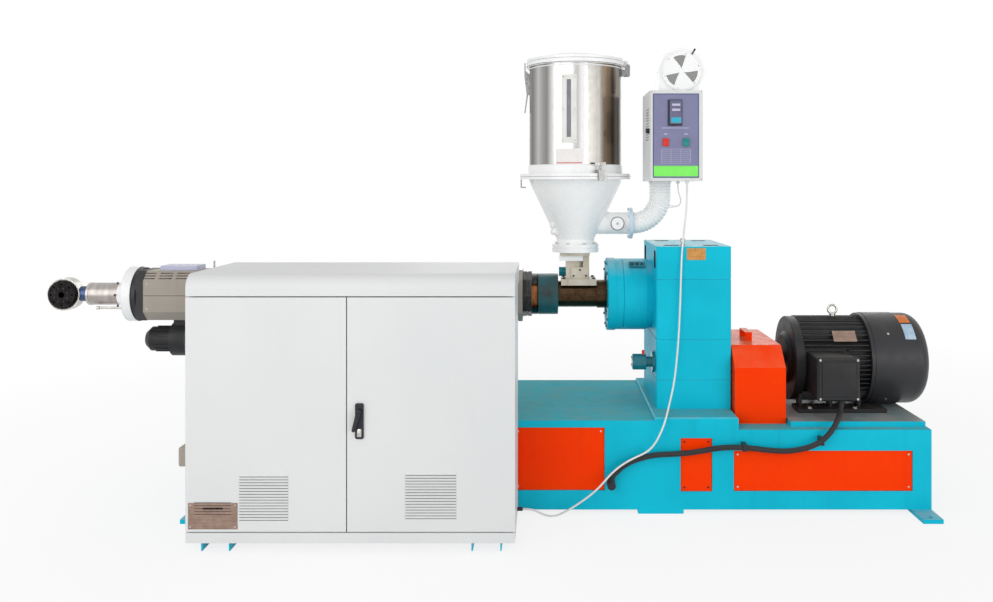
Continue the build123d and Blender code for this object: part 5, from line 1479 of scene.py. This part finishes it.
@dataclass
class Drive:
    """The coupling guard, the coupling and the finned motor with its cowl and terminal box."""

    motor_z: float = 664.0
    cowl_radius: float = 234.0
    cowl_lap_x: Pair = (1112.0, 1270.0)
    cowl_bolt_angles: tuple[float, ...] = (40.0, -52.0, 140.0, 232.0)
    guard_y: float = 340.0
    foot_z: float = 447.0
    plate_x: Pair = (912.0, 1030.0)
    plate_angle: float = 39.0
    fin_radius: float = 220.0
    lid_y: float = -385.0

    def dress(self) -> None:
        """Paints the guard and the motor."""
        dress(Finish.ORANGE, "coupling_guard")
        dress(Finish.DARK, "coupling")
        dress(Finish.CAST, "motor_body", "terminal_box")
        dress(Finish.BLACK, "motor_cowl")
        dress(Finish.PLATED, "motor_eye")

    def bolts(self) -> None:
        """Sets the bolts of the guard, the motor's feet, its terminal box and its cowl."""
        spots = [((x, side.vector.y * self.guard_y, z), side) for side in (Side.FRONT, Side.BACK)
                 for x in (396.0, 610.0) for z in (430.0, 655.0)]
        fasten("guard_screws", spots, Head.PAN, 5.0, Finish.ORANGE)
        spots = [((x, y, self.foot_z), Side.UP) for x in (782.0, 1010.0) for y in (-214.0, 214.0)]
        fasten("motor_foot_bolts", spots, Head.HEX, 11.0, Finish.PLATED)
        spots = [((x, self.lid_y, z), Side.FRONT) for x, z in corners((770, 520), (978, 735), 13.0)]
        fasten("terminal_lid_screws", spots, Head.SOCKET, 6.0, Finish.PLATED)
        Shape().slab((164.0, 171.0, 8.0), facing((874.0, self.lid_y - 1.0, 627.0), Side.FRONT), 3.6, 3).keep(
            "terminal_lid_panel", Finish.CAST, True)
        spots = [(Vector((1190.0, 0, self.motor_z)) + out * self.cowl_radius, out)
                 for out in map(out_of_x, self.cowl_bolt_angles)]
        fasten("cowl_bolts", spots, Head.HEX, 7.0, Finish.PLATED)

    def plates(self) -> None:
        """Fixes the bare copper plate on the fins and the two bare stickers on the cowl."""
        out = out_of_x(self.plate_angle)
        up = Vector((0, out.z, -out.y))
        left, right = self.plate_x
        centre = Vector(((left + right) / 2, 0, self.motor_z)) + out * (self.fin_radius + 2.0)
        plate("motor_copper_plate", (right - left, 62.0, 2.4), facing(centre, out, up), Finish.COPPER)
        spots = [((x, *(centre + out * 1.2 + up * rise).yz), out) for x in (left + 6, right - 6)
                 for rise in (-25.0, 25.0)]
        fasten("motor_plate_rivets", spots, Head.RIVET, 2.4, Finish.PLATED)
        for name, angles, ends, finish in (
                ("cowl_orange_sticker", (59.0, 78.0), (1250.0, 1326.0), Finish.ORANGE_FOIL),
                ("cowl_blue_sticker", (33.0, 56.0), (1274.0, 1328.0), Finish.BLUE_FOIL)):
            shape = Shape().wrap(self.cowl_radius + 0.1, 0.8, angles, ends, along_x(self.motor_z), 10)
            shape.keep(name, finish)

    def cowl(self) -> None:
        """Adds the lap of the fan cowl over the motor's end shield, without the faces where its ends meet."""
        shape = Shape().wrap(self.cowl_radius - 0.5, 3.0, (-180.0, 180.0), self.cowl_lap_x,
                             along_x(self.motor_z), 96)
        bmesh.ops.remove_doubles(shape.mesh, verts=shape.mesh.verts, dist=0.01)
        inner = [face for face in shape.mesh.faces if len(face.verts) == 4 and face.calc_area() > 0
                 and all(abs(corner.co.y - self.cowl_radius) < 4 for corner in face.verts)
                 and abs(face.calc_center_median().z - self.motor_z) < 0.01]
        bmesh.ops.delete(shape.mesh, geom=inner, context="FACES_ONLY")
        shape.keep("cowl_lap", Finish.BLACK, True)

    def build(self) -> None:
        """Adds everything on the drive."""
        self.bolts()
        self.plates()
        self.cowl()


@dataclass
class Cabinet:
    """The control cabinet that stands in front of the base, with two louvred doors."""

    front_y: float = -907.0
    plate_x: Pair = (-2083.0, -1871.0)
    plate_z: Pair = (100.0, 213.0)
    heading_z: float = 189.0
    rules_foot_z: float = 164.0
    rivet_inset: float = 10.0
    louvre_count: int = 16
    louvre_pitch: float = 12.375
    louvres: tuple[tuple[str, Body, Pair, float], ...] = (
        ("left", Body.LEFT_DOOR, (-1864.0, -1655.0), 141.0),
        ("right", Body.RIGHT_DOOR, (-1154.0, -936.0), 148.0),
    )
    handle_x: float = -1349.0

    def dress(self) -> None:
        """Coats the sheet metal, and gives the channels and the handle their finishes."""
        dress(Finish.POWDER, "cabinet_plinth", "cabinet_left_side", "cabinet_right_side", "cabinet_back",
              "cabinet_hood", "left_door", "right_door")
        dress(Finish.TEAL, "cabinet_channels")
        dress(Finish.BEIGE, "side_box")
        dress(Finish.DARK_PLASTIC, "handle_plate", "door_lever")

    def plate(self) -> None:
        """Rivets the copper plate with its bare ruled lines to the left door."""
        riveted_plate(("cabinet_copper_plate", "cabinet_plate_rivets"), self.plate_x, self.plate_z,
                      self.front_y, self.rivet_inset, 4.2, Finish.COPPER, Body.LEFT_DOOR)
        left, right = self.plate_x
        x, y = (left + right) / 2, self.front_y - PLATE_THICK - 0.1
        lay_bars("cabinet_plate_heading", 1, (x, y, self.heading_z), (0, 0, 1), (86.0, 0.5, 8.0), Finish.DARK,
                 Body.LEFT_DOOR)
        lay_bars("cabinet_plate_rules", 5, (x, y, self.rules_foot_z), (0, 0, 12.5),
                 (right - left - 56, 0.5, 2.2), Finish.DARK, Body.LEFT_DOOR)

    def gaps(self) -> None:
        """Lays dark bars in the gaps between the louvres as painted shadow."""
        for name, body, (west, east), low in self.louvres:
            start = ((west + east) / 2, self.front_y + 0.3, low - 2.2)
            lay_bars(f"{name}_louvre_gaps", self.louvre_count, start, (0, 0, self.louvre_pitch),
                     (east - west, 1.4, 3.4), Finish.LOUVRE_SHADOW, body)

    def lock(self) -> None:
        """Sets the lock barrel in the handle's plate, and the cap of the lever's hub."""
        face = facing((self.handle_x, -915.0, 514.0), Side.FRONT)
        profile = ((0, -0.5), (8, -0.5), (8, 2.6), (6.5, 3.6), (2.4, 3.6), (2.4, 1.4), (0, 1.4))
        Shape().slab((19.0, 34.0, 3.0), face, 1.2).turned(profile, face).keep(
            "door_lock_barrel", Finish.PLATED, True, Body.RIGHT_DOOR)
        Shape().turned(((0, -0.5), (8, -0.5), (8, 0.1), (7.5, 0.4), (0, 0.4)),
                       facing((self.handle_x, -932.0, 606.0), Side.FRONT)).keep(
            "door_lever_cap", Finish.DARK_PLASTIC, True, Body.LEVER)

    def build(self) -> None:
        """Adds everything on the cabinet."""
        self.plate()
        self.gaps()
        self.lock()


@dataclass(frozen=True)
class Cord:
    """One cable: its CAD tube, its real sizes and how it bends, and the route that it lies along."""

    node: str
    diameter: float
    length: float
    finish: Finish
    stiffness: str
    route: tuple[Place, ...]

    def lay(self) -> None:
        """Lays the cable on a smooth line through its route."""
        name = self.node + "_run"
        curve = bpy.data.curves.new(name, "CURVE")
        curve.dimensions = "3D"
        curve.bevel_depth = self.diameter * MM / 2
        curve.bevel_resolution = 4
        curve.resolution_u = 10
        curve.use_fill_caps = True
        line = curve.splines.new("NURBS")
        line.points.add(len(self.route) - 1)
        for point, (x, y, z) in zip(line.points, self.route):
            point.co = (x * MM, y * MM, z * MM, 1.0)
        line.order_u = 3
        line.use_endpoint_u = True
        curve.materials.append(self.finish.material())
        piece = link(name, curve)
        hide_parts(self.node)
        keep(piece)


@dataclass
class Cords:
    """The machine's own cables, which hang and lie along the base."""

    runs: tuple[Cord, ...] = (
        Cord("dryer_cable", 9.0, 2080.0, Finish.WHITE_SHEATH, "medium", (
            (153, -275, 1582), (153, -275, 1474), (137, -283, 1350), (124, -292, 1232), (119, -297, 1103),
            (115, -300, 980), (109, -303, 857), (98, -318, 736), (77, -362, 611), (43, -430, 517),
            (12, -485, 435), (-30, -501, 354), (-70, -513, 315), (-145, -517, 283), (-202, -515, 248),
            (-249, -516, 207), (-296, -515, 151), (-343, -512, 108), (-400, -508, 66), (-452, -501, 31),
            (-505, -502, 7), (-549, -521, 16), (-586, -551, 45), (-622, -575, 68), (-659, -575, 68),
        )),
        Cord("motor_conduit", 26.0, 1316.0, Finish.BLACK_SHEATH, "stiff", (
            (900, -345, 503), (891, -352, 468), (856, -428, 448), (815, -484, 415), (763, -494, 362),
            (698, -491, 328), (605, -487, 309), (511, -486, 313), (393, -487, 329), (275, -488, 328),
            (175, -487, 308), (85, -486, 297), (-38, -486, 294), (-139, -487, 266), (-200, -488, 231),
            (-240, -487, 185),
        )),
        Cord("sensor_lead", 6.0, 152.0, Finish.WHITE_SHEATH, "limp", (
            (139, -60, 1582), (139, -60, 1550), (148, -57, 1520), (156, -50, 1497), (156, -45, 1480),
            (143, -40, 1462), (118, -40, 1462),
        )),
    )

    def dress(self) -> None:
        """Gives the glands and clips dark plastic."""
        dress(Finish.DARK_PLASTIC, "cable_fittings")

    def build(self) -> None:
        """Lays the dryer's cable, the motor's conduit and the sensor's lead."""
        for cord in self.runs:
            cord.lay()


@dataclass
class Studio:
    """The pale floor, the white room, the soft lights and the camera."""

    camera_place_m: Place = (-0.560, -4.755, 1.569)
    camera_tilt: float = 90.0
    lens: float = 32.6
    shift: Pair = (-0.0478, -0.1158)
    floor_half_m: float = 60.0
    fade_m: Pair = (2.6, 5.5)
    near_white: float = 0.82
    room_light: float = 0.6
    lamps_aim_m: Place = (-0.9, 0.0, 0.9)
    lamps: tuple[tuple[str, Place, float, float], ...] = (
        ("key_panel", (-4.2, -6.4, 3.0), 6.0, 190.0),
        ("fill_panel", (4.8, -5.6, 1.0), 5.0, 150.0),
        ("back_panel", (0.5, 6.0, 4.0), 6.0, 90.0),
    )

    def seen_white(self, tree: Tree) -> Socket:
        """A mask of the rays that should see plain white: the camera's, mirrored and passed ones.

        Args:
            tree: The tree that needs it.

        Returns:
            The mask.
        """
        path = add_node(tree, "ShaderNodeLightPath")
        mirrored = add_node(tree, "ShaderNodeMath", {"operation": "MAXIMUM"},
                            {0: path.outputs["Is Camera Ray"], 1: path.outputs["Is Glossy Ray"]})
        return add_node(tree, "ShaderNodeMath", {"operation": "MAXIMUM"},
                        {0: mirrored.outputs[0], 1: path.outputs["Is Transmission Ray"]}).outputs[0]

    def room(self) -> None:
        """Makes the world: plain white where it is seen, a soft even light everywhere else."""
        world = bpy.data.worlds.new("white_room")
        tree = emptied(world)
        white = to_linear("#FFFFFF")
        light = add_node(tree, "ShaderNodeBackground", {"Color": white, "Strength": self.room_light})
        seen = add_node(tree, "ShaderNodeBackground", {"Color": white, "Strength": 1.0})
        mixed = add_node(tree, "ShaderNodeMixShader",
                         links={0: self.seen_white(tree), 1: light.outputs[0], 2: seen.outputs[0]})
        add_node(tree, "ShaderNodeOutputWorld", links={"Surface": mixed.outputs[0]})
        bpy.context.scene.world = world

    def floor(self) -> None:
        """Lays the pale floor, which keeps a light shadow and turns to plain white far out."""
        half = self.floor_half_m
        mesh = bpy.data.meshes.new("studio_floor")
        mesh.from_pydata([(-half, -half, 0.0), (half, -half, 0.0), (half, half, 0.0), (-half, half, 0.0)], [],
                         [(0, 1, 2, 3)])
        material = bpy.data.materials.new("studio_floor_paint")
        tree = emptied(material)
        place = add_node(tree, "ShaderNodeTexCoord")
        reach = add_node(tree, "ShaderNodeVectorMath", {"operation": "LENGTH"}, {0: place.outputs["Object"]})
        near, far = self.fade_m
        white = add_node(tree, "ShaderNodeMapRange",
                         {"From Min": near, "From Max": far, "To Min": self.near_white, "To Max": 1.0},
                         {"Value": reach.outputs["Value"]})
        share = add_node(tree, "ShaderNodeMath", {"operation": "MULTIPLY"},
                         {0: white.outputs[0], 1: self.seen_white(tree)})
        paint = add_node(tree, "ShaderNodeBsdfDiffuse", {"Color": to_linear("#F4F4F3")})
        glow = add_node(tree, "ShaderNodeEmission", {"Color": to_linear("#FFFFFF"), "Strength": 1.0})
        mixed = add_node(tree, "ShaderNodeMixShader",
                         links={0: share.outputs[0], 1: paint.outputs[0], 2: glow.outputs[0]})
        add_node(tree, "ShaderNodeOutputMaterial", links={"Surface": mixed.outputs[0]})
        mesh.materials.append(material)
        link("studio_floor", mesh)

    def lights(self) -> None:
        """Hangs the soft panels, which all look at the machine."""
        for name, place, size, power in self.lamps:
            lamp = bpy.data.lights.new(name, "AREA")
            lamp.shape = "SQUARE"
            lamp.size = size
            lamp.energy = power
            piece = link(name, lamp)
            piece.location = place
            aim = Vector(self.lamps_aim_m) - Vector(place)
            piece.rotation_euler = aim.to_track_quat("-Z", "Y").to_euler()

    def camera(self) -> None:
        """Stands the camera where the photograph was taken."""
        lens = bpy.data.cameras.new("photo_camera")
        lens.lens = self.lens
        lens.shift_x, lens.shift_y = self.shift
        lens.clip_end = 200.0
        piece = link("photo_camera", lens)
        piece.location = self.camera_place_m
        piece.rotation_euler = (radians(self.camera_tilt), 0.0, 0.0)
        bpy.context.scene.camera = piece

    def build(self) -> None:
        """Sets up the whole studio."""
        bpy.context.scene.view_settings.view_transform = "Standard"
        self.camera()
        self.room()
        self.floor()
        self.lights()


def main() -> None:
    """Builds the studio, and dresses and builds every sub-assembly in order."""
    logging.basicConfig(level=logging.INFO, format="%(name)s: %(message)s")
    Studio().build()
    for kind in (Cords, BaseFrame, Gearbox, Barrel, FeedThroat, Hopper, Dryer, Drive, Cabinet):
        assembly = kind()
        assembly.dress()
        assembly.build()


if __name__ == "__main__":
    main()
